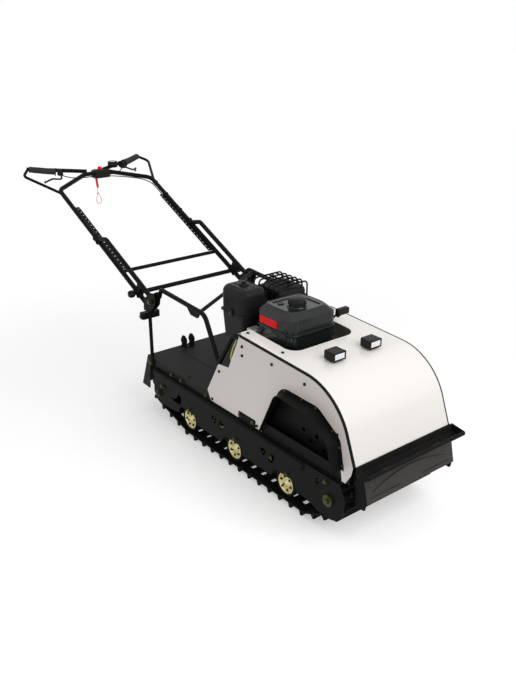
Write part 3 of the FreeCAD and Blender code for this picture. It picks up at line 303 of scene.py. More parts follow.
def make_finishes():
    """Makes every finish, each kept under the name that the pieces use."""
    c = colours()
    cowl, panel, black, deck, nose, rubber, zinc, bolt, tank, grey, hose, red = (
        tuple(getattr(c, key)) for key in ("cowl", "panel", "frame", "deck", "nose", "rubber", "zinc",
                                           "bolt", "tank", "plastic", "hose", "red"))
    grips, mark = (0.028, 0.028, 0.028), (0.80, 0.80, 0.79)
    coats = {
        # finish: material, tint, roughness, vary, patch, grain, rise, strength, shine, level
        "cowl_white": ("cowl_paint", cowl, 0.25, 0.010, 3.0, 1400.0, 0.00003, 0.1, 0.30, 0.5),
        # panel_white: the cowl's white made darker and pinker, which is painted shade for the side panels
        "panel_white": ("panel_paint_painted_shade", panel, 0.36, 0.015, 3.0, 1400.0, 0.00004, 0.12, 0.10, 0.5),
        "frame_black": ("frame_powder", black, 0.40, 0.20, 20.0, 1100.0, 0.00015, 0.35, 0.0, 0.04),
        "deck_charcoal": ("deck_powder", deck, 0.55, 0.12, 9.0, 900.0, 0.00025, 0.4, 0.0, 0.04),
        "nose_grey": ("nose_paint", nose, 0.45, 0.08, 6.0, 1000.0, 0.0001, 0.3, 0.0, 0.15),
        "trim_black": ("trim_rubber", black, 0.55, 0.2, 30.0, 1200.0, 0.0001, 0.3, 0.0, 0.08),
        "rubber_black": ("track_rubber", rubber, 0.60, 0.30, 26.0, 620.0, 0.0004, 0.5, 0.0, 0.04),
        "tyre_rubber": ("tyre_rubber", rubber, 0.55, 0.3, 30.0, 800.0, 0.0002, 0.4, 0.0, 0.05),
        "grip_rubber": ("grip_rubber", grips, 0.6, 0.2, 40.0, 1400.0, 0.0002, 0.4, 0.0, 0.2),
        "plastic_black": ("moulded_plastic", grey, 0.42, 0.15, 24.0, 1500.0, 0.00018, 0.4, 0.0, 0.12),
        "guard_wire": ("hot_black", black, 0.5, 0.3, 40.0, 900.0, 0.0002, 0.4, 0.0, 0.12),
        "engine_metal": ("cast_black", black, 0.5, 0.3, 30.0, 500.0, 0.0006, 0.5, 0.0, 0.12),
        "tank_slate": ("tank_enamel", tank, 0.20, 0.08, 6.0, 1200.0, 0.00002, 0.08, 0.0, 0.32),
        "badge_red": ("red_gloss", red, 0.35, 0.06, 20.0, 1400.0, 0.00005, 0.15, 0.0, 0.15),
        "white_mark": ("white_mark", mark, 0.4, 0.03, 60.0, 1400.0, 0.00003, 0.1, 0.0, 0.5),
        "hose_green": ("hose_clear", hose, 0.25, 0.12, 40.0, 600.0, 0.0001, 0.2, 0.3, 0.5),
        "cable_black": ("cable_sheath", black, 0.35, 0.2, 60.0, 1500.0, 0.0001, 0.3, 0.0, 0.15),
        "bolt_black": ("bolt_black", black, 0.35, 0.2, 60.0, 1500.0, 0.0001, 0.3, 0.0, 0.15),
    }
    for key, values in coats.items():
        FINISH[key] = coat(*values)
    FINISH["zinc_yellow"] = plated("disc_zinc", zinc, mixed(zinc, 0.80), 0.42)
    FINISH["axle_steel"] = plated("axle_zinc", bolt, mixed(bolt, 0.6), 0.38)
    FINISH["bolt_olive"] = plated("bolt_zinc", bolt, mixed(bolt, 0.6), 0.34)
    FINISH["bright_steel"] = plated("bright_steel", (0.62, 0.62, 0.60), (0.40, 0.40, 0.40), 0.3)
    FINISH["lamp_lens"] = lamp_glass_painted_reflection("lamp_glass_painted_reflection")
    FINISH["cord_red"] = cloth_cord("cord_braid", red)


def paint(obj, finish):
    obj.data.materials.clear()
    obj.data.materials.append(FINISH[finish])


# ---- modelling helpers
def deselect():
    if bpy.context.object and bpy.context.object.mode != "OBJECT":
        bpy.ops.object.mode_set(mode="OBJECT")
    bpy.ops.object.select_all(action="DESELECT")


def pick(*objs):
    deselect()
    for o in objs:
        o.select_set(True)
    bpy.context.view_layer.objects.active = objs[0]


def edit_all(obj):
    """Enters edit mode with all of a piece picked."""
    pick(obj)
    bpy.ops.object.mode_set(mode="EDIT")
    bpy.ops.mesh.select_all(action="SELECT")


def leave_edit():
    bpy.ops.object.mode_set(mode="OBJECT")


def settle(obj):
    pick(obj)
    bpy.ops.object.transform_apply(location=True, rotation=True, scale=True)


def turn_to(obj, axis, place):
    """Turns a piece built along +Z to an axis and moves it to its place, in its mesh."""
    quat = Vector(axis).to_track_quat("Z", "Y")
    obj.data.transform(Matrix.Translation(place) @ quat.to_matrix().to_4x4())
    obj.data.update()


def apply_all(obj):
    pick(obj)
    for m in list(obj.modifiers):
        bpy.ops.object.modifier_apply(modifier=m.name)


def bevel(obj, width, segments=2, angle=30.0):
    m = obj.modifiers.new("edge", "BEVEL")
    m.width = width
    m.segments = segments
    m.limit_method = "ANGLE"
    m.angle_limit = math.radians(angle)
    apply_all(obj)


def smooth(obj, angle=35.0):
    pick(obj)
    bpy.ops.object.shade_smooth_by_angle(angle=math.radians(angle))


def outward(obj):
    edit_all(obj)
    bpy.ops.mesh.remove_doubles(threshold=1e-6)
    bpy.ops.mesh.normals_make_consistent(inside=False)
    leave_edit()


def joined(name, parts):
    pick(*parts)
    if len(parts) > 1:
        bpy.ops.object.join()
    obj = bpy.context.view_layer.objects.active
    obj.name = name
    obj.data.name = name
    return obj


def disc(radius, deep, verts=32, at=(0, 0, 0)):
    deselect()
    bpy.ops.mesh.primitive_cylinder_add(vertices=verts, radius=radius, depth=deep, location=at)
    obj = bpy.context.object
    settle(obj)
    return obj


def brick(size, at=(0, 0, 0)):
    deselect()
    bpy.ops.mesh.primitive_cube_add(size=1.0, location=at)
    obj = bpy.context.object
    obj.scale = size
    settle(obj)
    return obj


def pick_faces(obj, wanted):
    """Picks the faces whose normal passes a test, and enters edit mode."""
    pick(obj)
    for face in obj.data.polygons:
        face.select = wanted(face.normal)
    for part in (*obj.data.edges, *obj.data.vertices):
        part.select = False
    bpy.ops.object.mode_set(mode="EDIT")
    bpy.ops.mesh.select_mode(type="FACE")


def pick_top(obj):
    pick_faces(obj, lambda normal: normal.z > 0.9)


def hex_bolt(across, high):
    """Hexagon head with a crowned top on a washer, its seat at z 0."""
    head = disc(across / 2 / math.cos(math.pi / 6), high, 6, (0, 0, high / 2 + 0.0012))
    pick_top(head)
    bpy.ops.mesh.inset(thickness=across * 0.08)
    bpy.ops.transform.translate(value=(0, 0, high * 0.12))
    leave_edit()
    bevel(head, across * 0.03, 1)
    washer = disc(across * 0.72, 0.0014, 20, (0, 0, 0.0005))
    bevel(washer, 0.0003, 1)
    return joined("bolt", [head, washer])


def dome_bolt(across, high):
    """Round button head with a hexagon socket, its seat at z 0."""
    head = disc(across / 2, high, 20, (0, 0, high / 2 - 0.0002))
    pick_top(head)
    bpy.ops.mesh.inset(thickness=across * 0.13)
    bpy.ops.transform.translate(value=(0, 0, high * 0.22))
    bpy.ops.mesh.inset(thickness=across * 0.12)
    bpy.ops.transform.translate(value=(0, 0, -high * 0.45))
    leave_edit()
    bevel(head, across * 0.03, 1)
    return head


def copy_of(model):
    one = model.copy()
    one.data = model.data.copy()
    bpy.context.scene.collection.objects.link(one)
    return one


def scatter(name, model, places, finish, body="chassis"):
    """Copies of one small piece at (place, axis) pairs, joined as one."""
    parts = []
    for place, axis in places:
        one = copy_of(model)
        turn_to(one, axis, Vector(place))
        parts.append(one)
    bpy.data.objects.remove(model)
    return finish_piece(name, parts, finish, body)


def around(model, count, axis, place):
    """Copies of a piece turned at even steps about an axis through the origin, then moved."""
    made = []
    for i in range(count):
        one = copy_of(model)
        turn = Matrix.Rotation(i * 2 * math.pi / count, 4, axis)
        one.data.transform(Matrix.Translation(place) @ turn)
        made.append(one)
    bpy.data.objects.remove(model)
    return made


def both(points, axis=RIGHT):
    """Places in millimetres on the right side and their mirrors on the left, each with its axis."""
    out = []
    for x, y, z in points:
        out.append((mm(x, y, z), axis))
        out.append((mm(x, -y, z), (axis[0], -axis[1], axis[2])))
    return out


def record_part(node):
    for part in frame["record"]["subparts"]:
        if part["node"] == node:
            return part
    raise ValueError(node)


def eased(node, width, segments=2, angle=35.0, shade=40.0, finish=None):
    """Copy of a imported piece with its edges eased, which stands for it."""
    source = NODES[node]
    obj = copy_of(source)
    for key in list(obj.keys()):
        del obj[key]
    obj.parent = None
    obj.matrix_world = Matrix.Identity(4)
    obj.name = node + "_finished"
    obj.data.name = obj.name
    edit_all(obj)
    bpy.ops.mesh.remove_doubles(threshold=2e-6)
    bpy.ops.mesh.dissolve_limited(angle_limit=math.radians(0.4))
    leave_edit()
    bevel(obj, width, segments, angle)
    smooth(obj, shade)
    even(obj)
    slot = record_part(node)["material_slot"]
    paint(obj, finish or slot)
    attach(obj, body_of(source)[0])
    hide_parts(node)
    return obj


def even(obj):
    """Keeps flat faces flat beside their eased edges."""
    m = obj.modifiers.new("even", "WEIGHTED_NORMAL")
    m.keep_sharp = True
    apply_all(obj)


def finish_piece(name, parts, finish, body="chassis", stands_for=None):
    """Joins the parts as one piece, with its finish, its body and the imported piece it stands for."""
    obj = joined(name, parts)
    smooth(obj, 40.0)
    paint(obj, finish)
    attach(obj, body)
    if stands_for:
        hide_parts(stands_for)
    return obj


def finish_pair(name, parts, finish, body="chassis", stands_for=None):
    """The same for a piece of the right side and its mirror on the left."""
    one = joined(name, parts)
    return finish_piece(name, [one, mirrored(one)], finish, body, stands_for)


def eased_brick(size, at, width=0.001, segments=2):
    obj = brick(size, at)
    bevel(obj, width, segments)
    return obj


def eased_disc(radius, deep, verts=32, at=(0, 0, 0), width=0.0008, segments=2):
    obj = disc(radius, deep, verts, at)
    bevel(obj, width, segments)
    return obj


def mirrored(obj):
    """Copy of a right-hand piece for the left side, its faces turned outwards again."""
    one = copy_of(obj)
    one.data.transform(Matrix.Diagonal((1, -1, 1, 1)))
    one.data.flip_normals()
    one.data.update()
    return one


def drawn_line(name, points, radius, loop=False, order=3, fine=8, sides=3):
    """Round curve along a smooth line through its points."""
    data = bpy.data.curves.new(name, "CURVE")
    data.dimensions = "3D"
    spline = data.splines.new("NURBS")
    spline.points.add(len(points) - 1)
    for point, place in zip(spline.points, points):
        point.co = (*place, 1.0)
    spline.order_u = order
    spline.use_endpoint_u = not loop
    spline.use_cyclic_u = loop
    spline.resolution_u = fine
    data.bevel_depth = radius
    data.bevel_resolution = sides
    data.use_fill_caps = not loop
    obj = bpy.data.objects.new(name, data)
    bpy.context.scene.collection.objects.link(obj)
    return obj


def wire(points, radius, loop=False, order=3, fine=8):
    """Round wire or cable along a smooth line, as a mesh."""
    pick(drawn_line("line", points, radius, loop, order, fine))
    bpy.ops.object.convert(target="MESH")
    obj = bpy.context.object
    outward(obj)
    return obj


def ring(radius, thick, axis, place, around=40, across=10):
    deselect()
    bpy.ops.mesh.primitive_torus_add(major_radius=radius, minor_radius=thick, major_segments=around,
                                     minor_segments=across)
    obj = bpy.context.object
    settle(obj)
    turn_to(obj, axis, place)
    return obj


def spun(profile, axis, place, steps=32):
    """Turned piece: (radius, height) points in metres, spun about its axis."""
    mesh = bpy.data.meshes.new("turned")
    edges = [(i, i + 1) for i in range(len(profile) - 1)]
    mesh.from_pydata([(r, 0, h) for r, h in profile], edges, [])
    obj = bpy.data.objects.new("turned", mesh)
    bpy.context.scene.collection.objects.link(obj)
    edit_all(obj)
    bpy.ops.mesh.spin(steps=steps, angle=2 * math.pi, center=(0, 0, 0), axis=(0, 0, 1))
    outward(obj)
    turn_to(obj, axis, place)
    return obj


# ---- track line
def track_parts():
    """Lines and arcs of the belt's middle, in millimetres, starting under the idler."""
    count = len(WHEELS)
    leans = []
    for i in range(count):
        x1, z1, r1 = WHEELS[i]
        x2, z2, r2 = WHEELS[(i + 1) % count]
        span = math.hypot(x2 - x1, z2 - z1)
        ux, uz = (x2 - x1) / span, (z2 - z1) / span
        lean = (r1 - r2) / span
        flat = math.sqrt(1 - lean * lean)
        leans.append((uz * flat + ux * lean, -ux * flat + uz * lean))
    parts = []
    for i in range(count):
        x1, z1, r1 = WHEELS[i]
        x2, z2, r2 = WHEELS[(i + 1) % count]
        nx, nz = leans[i]
        a = (x1 + nx * r1, z1 + nz * r1)
        b = (x2 + nx * r2, z2 + nz * r2)
        parts.append((a, b, None, (nx, nz), math.hypot(b[0] - a[0], b[1] - a[1])))
        mx, mz = leans[(i + 1) % count]
        first = math.atan2(nz, nx)
        turn = (math.atan2(mz, mx) - first) % (2 * math.pi)
        parts.append(((x2, z2), None, r2, first, turn * r2))
    return parts


def on_track(parts, s):
    """Place and outward direction at a distance round the belt."""
    s = s % sum(part[4] for part in parts)
    for a, b, r, first, size in parts:
        if s <= size:
            if r is None:
                t = s / size
                return (a[0] + (b[0] - a[0]) * t, a[1] + (b[1] - a[1]) * t), first
            turn = first + s / r
            n = (math.cos(turn), math.sin(turn))
            return (a[0] + r * n[0], a[1] + r * n[1]), n
        s -= size
    raise ValueError(s)


def along_track(name, model, steps, off, finish):
    """Copies of a piece drawn with +Z outwards and +X along the belt, one at each step."""
    parts = track_parts()
    made = []
    for s in steps:
        (x, z), n = on_track(parts, s)
        place = mm(x + n[0] * off, 0, z + n[1] * off)
        out = Vector((n[0], 0, n[1]))
        along = Vector((0, 1, 0)).cross(out)
        turn = Matrix((along, (0, 1, 0), out)).transposed().to_4x4()
        one = copy_of(model)
        one.data.transform(Matrix.Translation(place) @ turn)
        made.append(one)
    bpy.data.objects.remove(model)
    return finish_piece(name, made, finish)


# ---- operators
# Where the camera stands, in millimetres, and which way it looks in plan
CAMERA_AT = (2211.0, -1884.1, 1730.0)
CAMERA_LOOK = (-0.7837, 0.6211)


class TUG_OT_camera(bpy.types.Operator):
    """Sets up the camera"""
    bl_idname = "tug.camera"
    bl_label = "Camera"

    def execute(self, context):
        view = context.scene.tug_view
        data = bpy.data.cameras.new("view")
        data.lens = view.lens
        data.sensor_width = 36.0
        data.sensor_fit = "AUTO"
        cam = bpy.data.objects.new("view", data)
        context.scene.collection.objects.link(cam)
        flat = math.cos(view.pitch)
        look = Vector((CAMERA_LOOK[0] * flat, CAMERA_LOOK[1] * flat, -math.sin(view.pitch)))
        cam.location = mm(*CAMERA_AT)
        cam.rotation_mode = "QUATERNION"
        cam.rotation_quaternion = look.to_track_quat("-Z", "Y")
        context.scene.camera = cam
        return {"FINISHED"}


class TUG_OT_finishes(bpy.types.Operator):
    """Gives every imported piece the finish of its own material"""
    bl_idname = "tug.finishes"
    bl_label = "Finishes"

    def execute(self, context):
        make_finishes()
        for part in frame["record"]["subparts"]:
            paint(NODES[part["node"]], part["material_slot"])
        return {"FINISHED"}


class TUG_OT_lanyard(bpy.types.Operator):
    """Adds the red stop lanyard, a thin cord whose end is knotted to its neck"""
    bl_idname = "tug.lanyard"
    bl_label = "Stop lanyard"

    def execute(self, context):
        route = [(-1505, -8, 882), (-1506, -10, 852), (-1508, -20, 820), (-1513, -12, 795),
                 (-1514, 9, 796), (-1510, 14, 820), (-1506, -6, 852)]
        thick = sizes().cord
        cord = drawn_line("lanyard_cord", [mm(*place) for place in route], thick / 2, fine=12, sides=4)
        cord.data.materials.append(FINISH["cord_red"])
        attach(cord, UPPER)
        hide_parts("lanyard")
        turns = [ring(thick * 0.95, thick * 0.5, axis, mm(-1506, -8, 853) + Vector((0, 0, dz)), 20, 8)
                 for axis, dz in (((0.2, 0.3, 1), 0.0012), ((-0.3, 0.1, 1), -0.0012),
                                  ((1, 0.4, 0.3), 0.0))]
        knot = finish_piece("lanyard_knot", turns, "cord_red", UPPER)
        return {"FINISHED"}


class TUG_OT_edges(bpy.types.Operator):
    """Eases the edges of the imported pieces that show, and finishes the shape of three of them"""
    bl_idname = "tug.edges"
    bl_label = "Eased edges"

    def execute(self, context):
        edge = sizes().edge
        for node in ("side_plates", "side_rails", "rear_deck", "deck_cover", "rear_guard", "cowl",
                     "arch_fenders", "bumper", "nose_plate", "nose_brackets", "hinge_cheeks",
                     "hitch_bracket", "engine_bed", "post_clamps"):
            eased(node, edge)
        # The side panels take the darker copy of the cowl's white, which is painted shade
        eased("side_panels", edge, finish="panel_white")
        eased("light_housings", 0.0016)
        eased("control_box", 0.0022, 3)
        tank = eased("fuel_tank", 0.0050, 4, 20.0)
        below_seam, widen, lower = 0.600, 0.13, 0.022
        middle = mm(TANK_X, TANK_Y, 0)
        for v in tank.data.vertices:
            if v.co.z < below_seam:
                v.co.x += (v.co.x - middle.x) * widen
                v.co.y += (v.co.y - middle.y) * widen
                v.co.z -= lower
        eased("tank_badge", 0.0008)
        guard = eased("muffler_guard", 0.0003, 1)
        swell = guard.modifiers.new("swell", "DISPLACE")
        swell.strength = 0.0011
        swell.mid_level = 0.0
        apply_all(guard)
        trims = eased("cowl_trims", 0.0007)
        edit_all(trims)
        bpy.ops.transform.translate(value=(-0.0011, 0, -0.0011))
        leave_edit()
        eased("drive_sprockets", 0.0012)
        eased("roller_discs", 0.0006)
        eased("track", 0.0012, 2, 40.0)
        return {"FINISHED"}


class TUG_OT_handle(bpy.types.Operator):
    """Adds the bosses of the hitch's ears and the starter handle on its bent stem"""
    bl_idname = "tug.handle"
    bl_label = "Hitch and starter handle"

    def execute(self, context):
        grip = eased_brick((0.024, 0.058, 0.026), mm(182, 143, 657), 0.005, 4)
        neck = spun([(0.0, 0.0), (0.0075, 0.0), (0.0085, 0.012), (0.0070, 0.022), (0.0, 0.022)],
                    (-0.4, -0.3, -0.6), mm(180, 137, 650), 24)
        washer = [(0.0076, 0.0), (0.0165, 0.0), (0.0178, 0.0012), (0.0178, 0.0035), (0.0160, 0.0048),
                  (0.0076, 0.0048), (0.0076, 0.0)]
        bosses = [spun(washer, axis, mm(HITCH_X, y, HITCH_Z), 32)
                  for y, axis in ((-64, RIGHT), (-58, LEFT), (-22, RIGHT), (-16, LEFT))]
        finish_piece("hitch_bosses", bosses, "frame_black")
        stem = wire([mm(140, 128, 502), mm(140, 128, 600), mm(152, 129, 632), mm(174, 134, 646)],
                    0.0045)
        finish_piece("starter_grip", [grip, neck, stem], "plastic_black", stands_for="starter_handle")
        return {"FINISHED"}


class TUG_OT_tread(bpy.types.Operator):
    """Adds the moulded gussets and pads of the track"""
    bl_idname = "tug.tread"
    bl_label = "Tread"

    def execute(self, context):
        parts = []
        for y in (-0.225, -0.150, -0.075, 0.0, 0.075, 0.150, 0.225):
            web = brick((0.030, 0.006, 0.011), (0, y, 0.0045))
            pick_top(web)
            bpy.ops.transform.resize(value=(0.36, 0.6, 1.0))
            leave_edit()
            parts.append(web)
        gussets = joined("lug_gussets", parts)
        steps = [(i + 0.5) * PITCH for i in range(LUGS)]
        along_track("lug_gussets", gussets, steps, BELT_HALF, "rubber_black")
        pads = []
        for y, wide in ((0.0, 0.30), (-0.232, 0.026), (0.232, 0.026)):
            pads.append(eased_brick((0.026, wide, 0.0045), (0, y, 0.0015), 0.0018, 1))
        along_track("track_pads", joined("track_pads", pads), [i * PITCH for i in range(LUGS)],
                    BELT_HALF, "rubber_black")
        return {"FINISHED"}


class TUG_OT_bolts(bpy.types.Operator):
    """Adds the bolts of the panels, plates, discs, fenders, axles, deck, cowl, nose and hinges"""
    bl_idname = "tug.bolts"
    bl_label = "Bolts"

    def execute(self, context):
        s = sizes()
        across, high = s.bolt_across, s.bolt_high
        panel = [(45, 562), (45, 525), (-108, 403), (223, 552), (403, 541), (573, 417), (-161, 259),
                 (136, 260)]
        scatter("panel_bolts", dome_bolt(s.panel_bolt_across, 0.0042),
                both([(x, PANEL_FACE, z) for x, z in panel]), "bolt_black")
        plate = [(x + 31, PLATE_FACE, 146) for x in ROLLER_X]
        plate += [(-469, -245, 254), (-392, -245, 254), (-538, PLATE_FACE, 176), (536, PLATE_FACE, 216)]
        plate += [(-206, -242, 256), (-661, -242, 256), (30, -245, 266), (112, -245, 266)]
        scatter("plate_bolts", hex_bolt(across, high), both(plate), "bolt_olive")
        fender = [(184, 300), (236, 392), (300, 478), (392, 477), (465, 474), (552, 424), (587, 374),
                  (606, 312)]
        scatter("fender_bolts", dome_bolt(0.010, 0.0038),
                both([(x, -246, z) for x, z in fender]), "bolt_olive")
        studs, circle = [], 28.5
        for i, x in enumerate(ROLLER_X):
            for k in range(6):
                turn = k * math.pi / 3 + 0.3 * i + 0.2
                for middle, y in ((x, -231.0), (x + INNER_AHEAD, -160.0)):
                    studs.append((middle + circle * math.cos(turn), y,
                                  ROLLER_Z + circle * math.sin(turn)))
        scatter("disc_bolts", hex_bolt(s.disc_bolt_across, 0.0035), both(studs), "bolt_olive")
        nipple = [(0, 0.0052), (0.0018, 0.005), (0.0022, 0.0035), (0.0034, 0.003), (0.0036, 0.0),
                  (0.0, -0.0004)]
        scatter("hub_nipples", spun(nipple, UP, (0, 0, 0), 12),
                both([(x, -241.0, ROLLER_Z) for x in ROLLER_X]), "bolt_olive")
        ends = [(IDLER_X, -263.5, IDLER_Z), (DRIVE_X, -264.5, DRIVE_Z)]
        scatter("axle_end_bolts", hex_bolt(0.017, 0.0075), both(ends), "bolt_olive")
        deck = [(x, -225, DECK_TOP) for x in (-650, -360, -90)]
        scatter("deck_bolts", dome_bolt(0.011, 0.0038), both(deck, UP), "bolt_black")
        cover = [(mm(x, y, DECK_TOP + 2), UP) for y in (-84, 84) for x in (-606, -312)]
        scatter("cover_screws", dome_bolt(0.009, 0.003), cover, "bolt_black")
        slope, square_to_it = 0.05066, (0.0506, 0, 1)
        tops = [(mm(x, y, 605 - slope * (x - 12)), square_to_it)
                for x, y in ((34, -208), (240, -208), (34, 206))]
        scatter("cowl_bolts", dome_bolt(0.012, 0.004), tops, "bolt_black")
        nose = [(mm(691, y, 262), AHEAD) for y in (-198, 198)]
        scatter("nose_bolts", hex_bolt(0.012, 0.005), nose, "bolt_olive")
        scatter("hinge_pin_heads", hex_bolt(0.017, 0.004), both([(PIVOT_X, -286.3, PIVOT_Z)]),
                "bolt_olive")
        scatter("post_foot_bolts", hex_bolt(across, high), both([(-622, -258, 262)]), "bolt_olive")
        return {"FINISHED"}


class TUG_OT_lamps(bpy.types.Operator):
    """Adds the bezels, reflectors and cooling fins of the two work lamps"""
    bl_idname = "tug.lamps"
    bl_label = "Work lamps"

    def execute(self, context):
        bulge = [(0, 0.0002), (0.002, 0.0012), (0.0045, 0.0016), (0.0062, 0.0006), (0.0062, -0.001)]
        bezels, fins, cells = [], [], []
        for y in (-91, 91):
            bezel = brick((0.003, 0.058, 0.032), mm(415.0, y, LAMP_Z))
            pick_faces(bezel, lambda normal: abs(normal.x) > 0.9)
            bpy.ops.mesh.inset(thickness=0.0045, use_individual=True)
            bpy.ops.mesh.bridge_edge_loops()
            leave_edit()
            bevel(bezel, 0.0006, 2)
            bezels.append(bezel)
            for i in range(5):
                at = mm(364, y + (i - 2) * 10, LAMP_Z)
                fins.append(eased_brick((0.006, 0.0028, 0.026), at, 0.0006, 1))
            for i in range(3):
                cells.append(spun(bulge, AHEAD, mm(414.0, y + (i - 1) * 14.5, LAMP_Z), 20))
        finish_piece("lamp_bezels", bezels, "plastic_black")
        finish_piece("lamp_fins", fins, "plastic_black")
        finish_piece("lamp_cells", cells, "lamp_lens")
        return {"FINISHED"}


class TUG_OT_tank(bpy.types.Operator):
    """Adds the filler neck, ribbed cap, vent boss, seam rivets and rim of the fuel tank"""
    bl_idname = "tug.tank"
    bl_label = "Fuel tank"

    def execute(self, context):
        x, y, top = TANK_X + 22, TANK_Y - 15, TANK_TOP
        neck = spun([(0.0285, 0.0), (0.0385, 0.0), (0.0390, 0.0025), (0.0370, 0.0060), (0.0300, 0.0070),
                     (0.0285, 0.0)], UP, mm(x, y, top), 40)
        finish_piece("filler_neck", [neck], "tank_slate")
        cap = spun([(0, 0.0385), (0.012, 0.0382), (0.026, 0.0368), (0.0325, 0.0335), (0.0350, 0.0285),
                    (0.0352, 0.0130), (0.0335, 0.0118), (0.0, 0.0118)], UP, mm(x, y, top - 1), 48)
        rib = eased_brick((0.0030, 0.0032, 0.0135), (0.0345, 0, 0.0205), 0.0009, 1)
        ribs = around(rib, 24, "Z", mm(x, y, top - 1))
        finish_piece("cap_ribbed", [cap, *ribs], "plastic_black", stands_for="fuel_cap")
        boss = spun([(0, 0.0020), (0.0075, 0.0020), (0.0095, 0.0042), (0.0118, 0.0042), (0.0132, 0.0016),
                     (0.0132, -0.0010)], UP, mm(40, -52, top), 32)
        finish_piece("tank_boss", [boss], "tank_slate")
        seam = [(-34, -60), (-34, 46), (196, -60), (196, 46), (30, -127), (130, -127), (30, 113),
                (130, 113)]
        scatter("seam_rivets", dome_bolt(0.007, 0.0022), [(mm(px, py, 615), UP) for px, py in seam],
                "tank_slate")
        rim = [(20, -100), (142, -100), (164, -80), (164, 66), (142, 86), (20, 86), (-2, 66), (-2, -80)]
        bead = wire([mm(px, py, 694.2) for px, py in rim], 0.0016, loop=True)
        finish_piece("tank_rim", [bead], "tank_slate")
        return {"FINISHED"}


class TUG_OT_engine(bpy.types.Operator):
    """Adds the engine's case, fins and covers and the clips, louvres and hose round it"""
    bl_idname = "tug.engine"
    bl_label = "Engine"

    def execute(self, context):
        crank = eased_brick((0.275, 0.310, 0.236), mm(87.5, -15, 386), 0.010, 4)
        shroud = eased_brick((0.222, 0.236, 0.053), mm(82, -7, 525.5), 0.014, 4)
        feet = eased_brick((0.250, 0.240, 0.012), mm(88, -15, 274.2), 0.003, 2)
        finish_piece("engine_case", [crank, shroud, feet], "engine_metal", stands_for="engine_block")
        fins = [eased_brick((0.004, 0.150, 0.105), mm(-56 - i * 9, 60, 505), 0.0008, 1)
                for i in range(7)]
        finish_piece("cylinder_fins", fins, "engine_metal")
        housing = eased_disc(0.100, 0.030, 56, (0, 0, 0), 0.008, 4)
        turn_to(housing, AHEAD, mm(236, 0, RECOIL_Z))
        finish_piece("recoil_housing", [housing], "engine_metal")
        rib = eased_brick((0.005, 0.006, 0.040), (0.0, 0.0, 0.068), 0.0012, 1)
        finish_piece("recoil_ribs", around(rib, 18, "X", mm(252, 0, RECOIL_Z)), "engine_metal")
        clips = []
        x, y = FILTER_X, FILTER_Y
        for off, axis in ((-67, RIGHT), (67, LEFT)):
            clip = eased_brick((0.024, 0.030, 0.0035), (0, 0, 0), 0.0010, 2)
            turn_to(clip, axis, mm(x, y + off, 620))
            clips.append(clip)
        finish_piece("filter_clips", clips, "bolt_black")
        nut = spun([(0, 0.0135), (0.0065, 0.0132), (0.0085, 0.0105), (0.0088, 0.0030), (0.0175, 0.0026),
                    (0.0190, 0.0008), (0.0190, -0.0010)], UP, mm(x, y, 727), 32)
        finish_piece("filter_knob", [nut], "plastic_black")
        lines = []
        for i in range(4):
            across = y - 40 + i * 27
            lines.append(wire([mm(x - 50, across, 722.0), mm(x, across, 722.4),
                               mm(x + 50, across, 722.0)], 0.0014))
        finish_piece("filter_ribs", lines, "plastic_black")
        bits = [eased_brick((0.050, 0.050, 0.034), mm(-44, -110, 560), 0.004, 3)]
        bowl = spun([(0, -0.030), (0.014, -0.030), (0.019, -0.026), (0.021, -0.006), (0.021, 0.012)],
                    UP, mm(-52, -110, 520), 28)
        bits.append(bowl)
        finish_piece("carburettor_body", bits, "bright_steel")
        hose = wire([mm(-52, -114, 500), mm(-54, -150, 512), mm(-38, -204, 556), mm(-14, -228, 560),
                     mm(-36, -229, 520), mm(-54, -228, 465), mm(-30, -205, 420), mm(-14, -148, 404)],
                    0.0042, fine=10)
        finish_piece("fuel_hose", [hose], "hose_green")
        louvres = []
        for i in range(7):
            at = mm(-196 + i * 19, GUARD_Y, 690.6)
            louvres.append(eased_brick((0.014, 0.060, 0.0022), at, 0.0009, 1))
        louvres.append(eased_brick((0.134, 0.118, 0.0035), mm(-138, GUARD_Y, 672), 0.0012, 1))
        band_line = [mm(-214.5, 36, 640), mm(-214.5, 160, 640), mm(-209, 166.5, 640),
                     mm(-70, 166.5, 640)]
        louvres.append(wire(band_line, 0.0022, order=2))
        finish_piece("muffler_louvres", louvres, "guard_wire")
        guard_nuts = [(mm(x, GUARD_Y, 715), UP) for x in (-188, -92)]
        scatter("guard_nuts", hex_bolt(0.009, 0.004), guard_nuts, "bolt_black")
        mounts = [(mm(x, y, BED_TOP), UP) for x in (-30, 200) for y in (-80, 80)]
        scatter("engine_bolts", hex_bolt(0.014, 0.007), mounts, "bolt_olive")
        return {"FINISHED"}


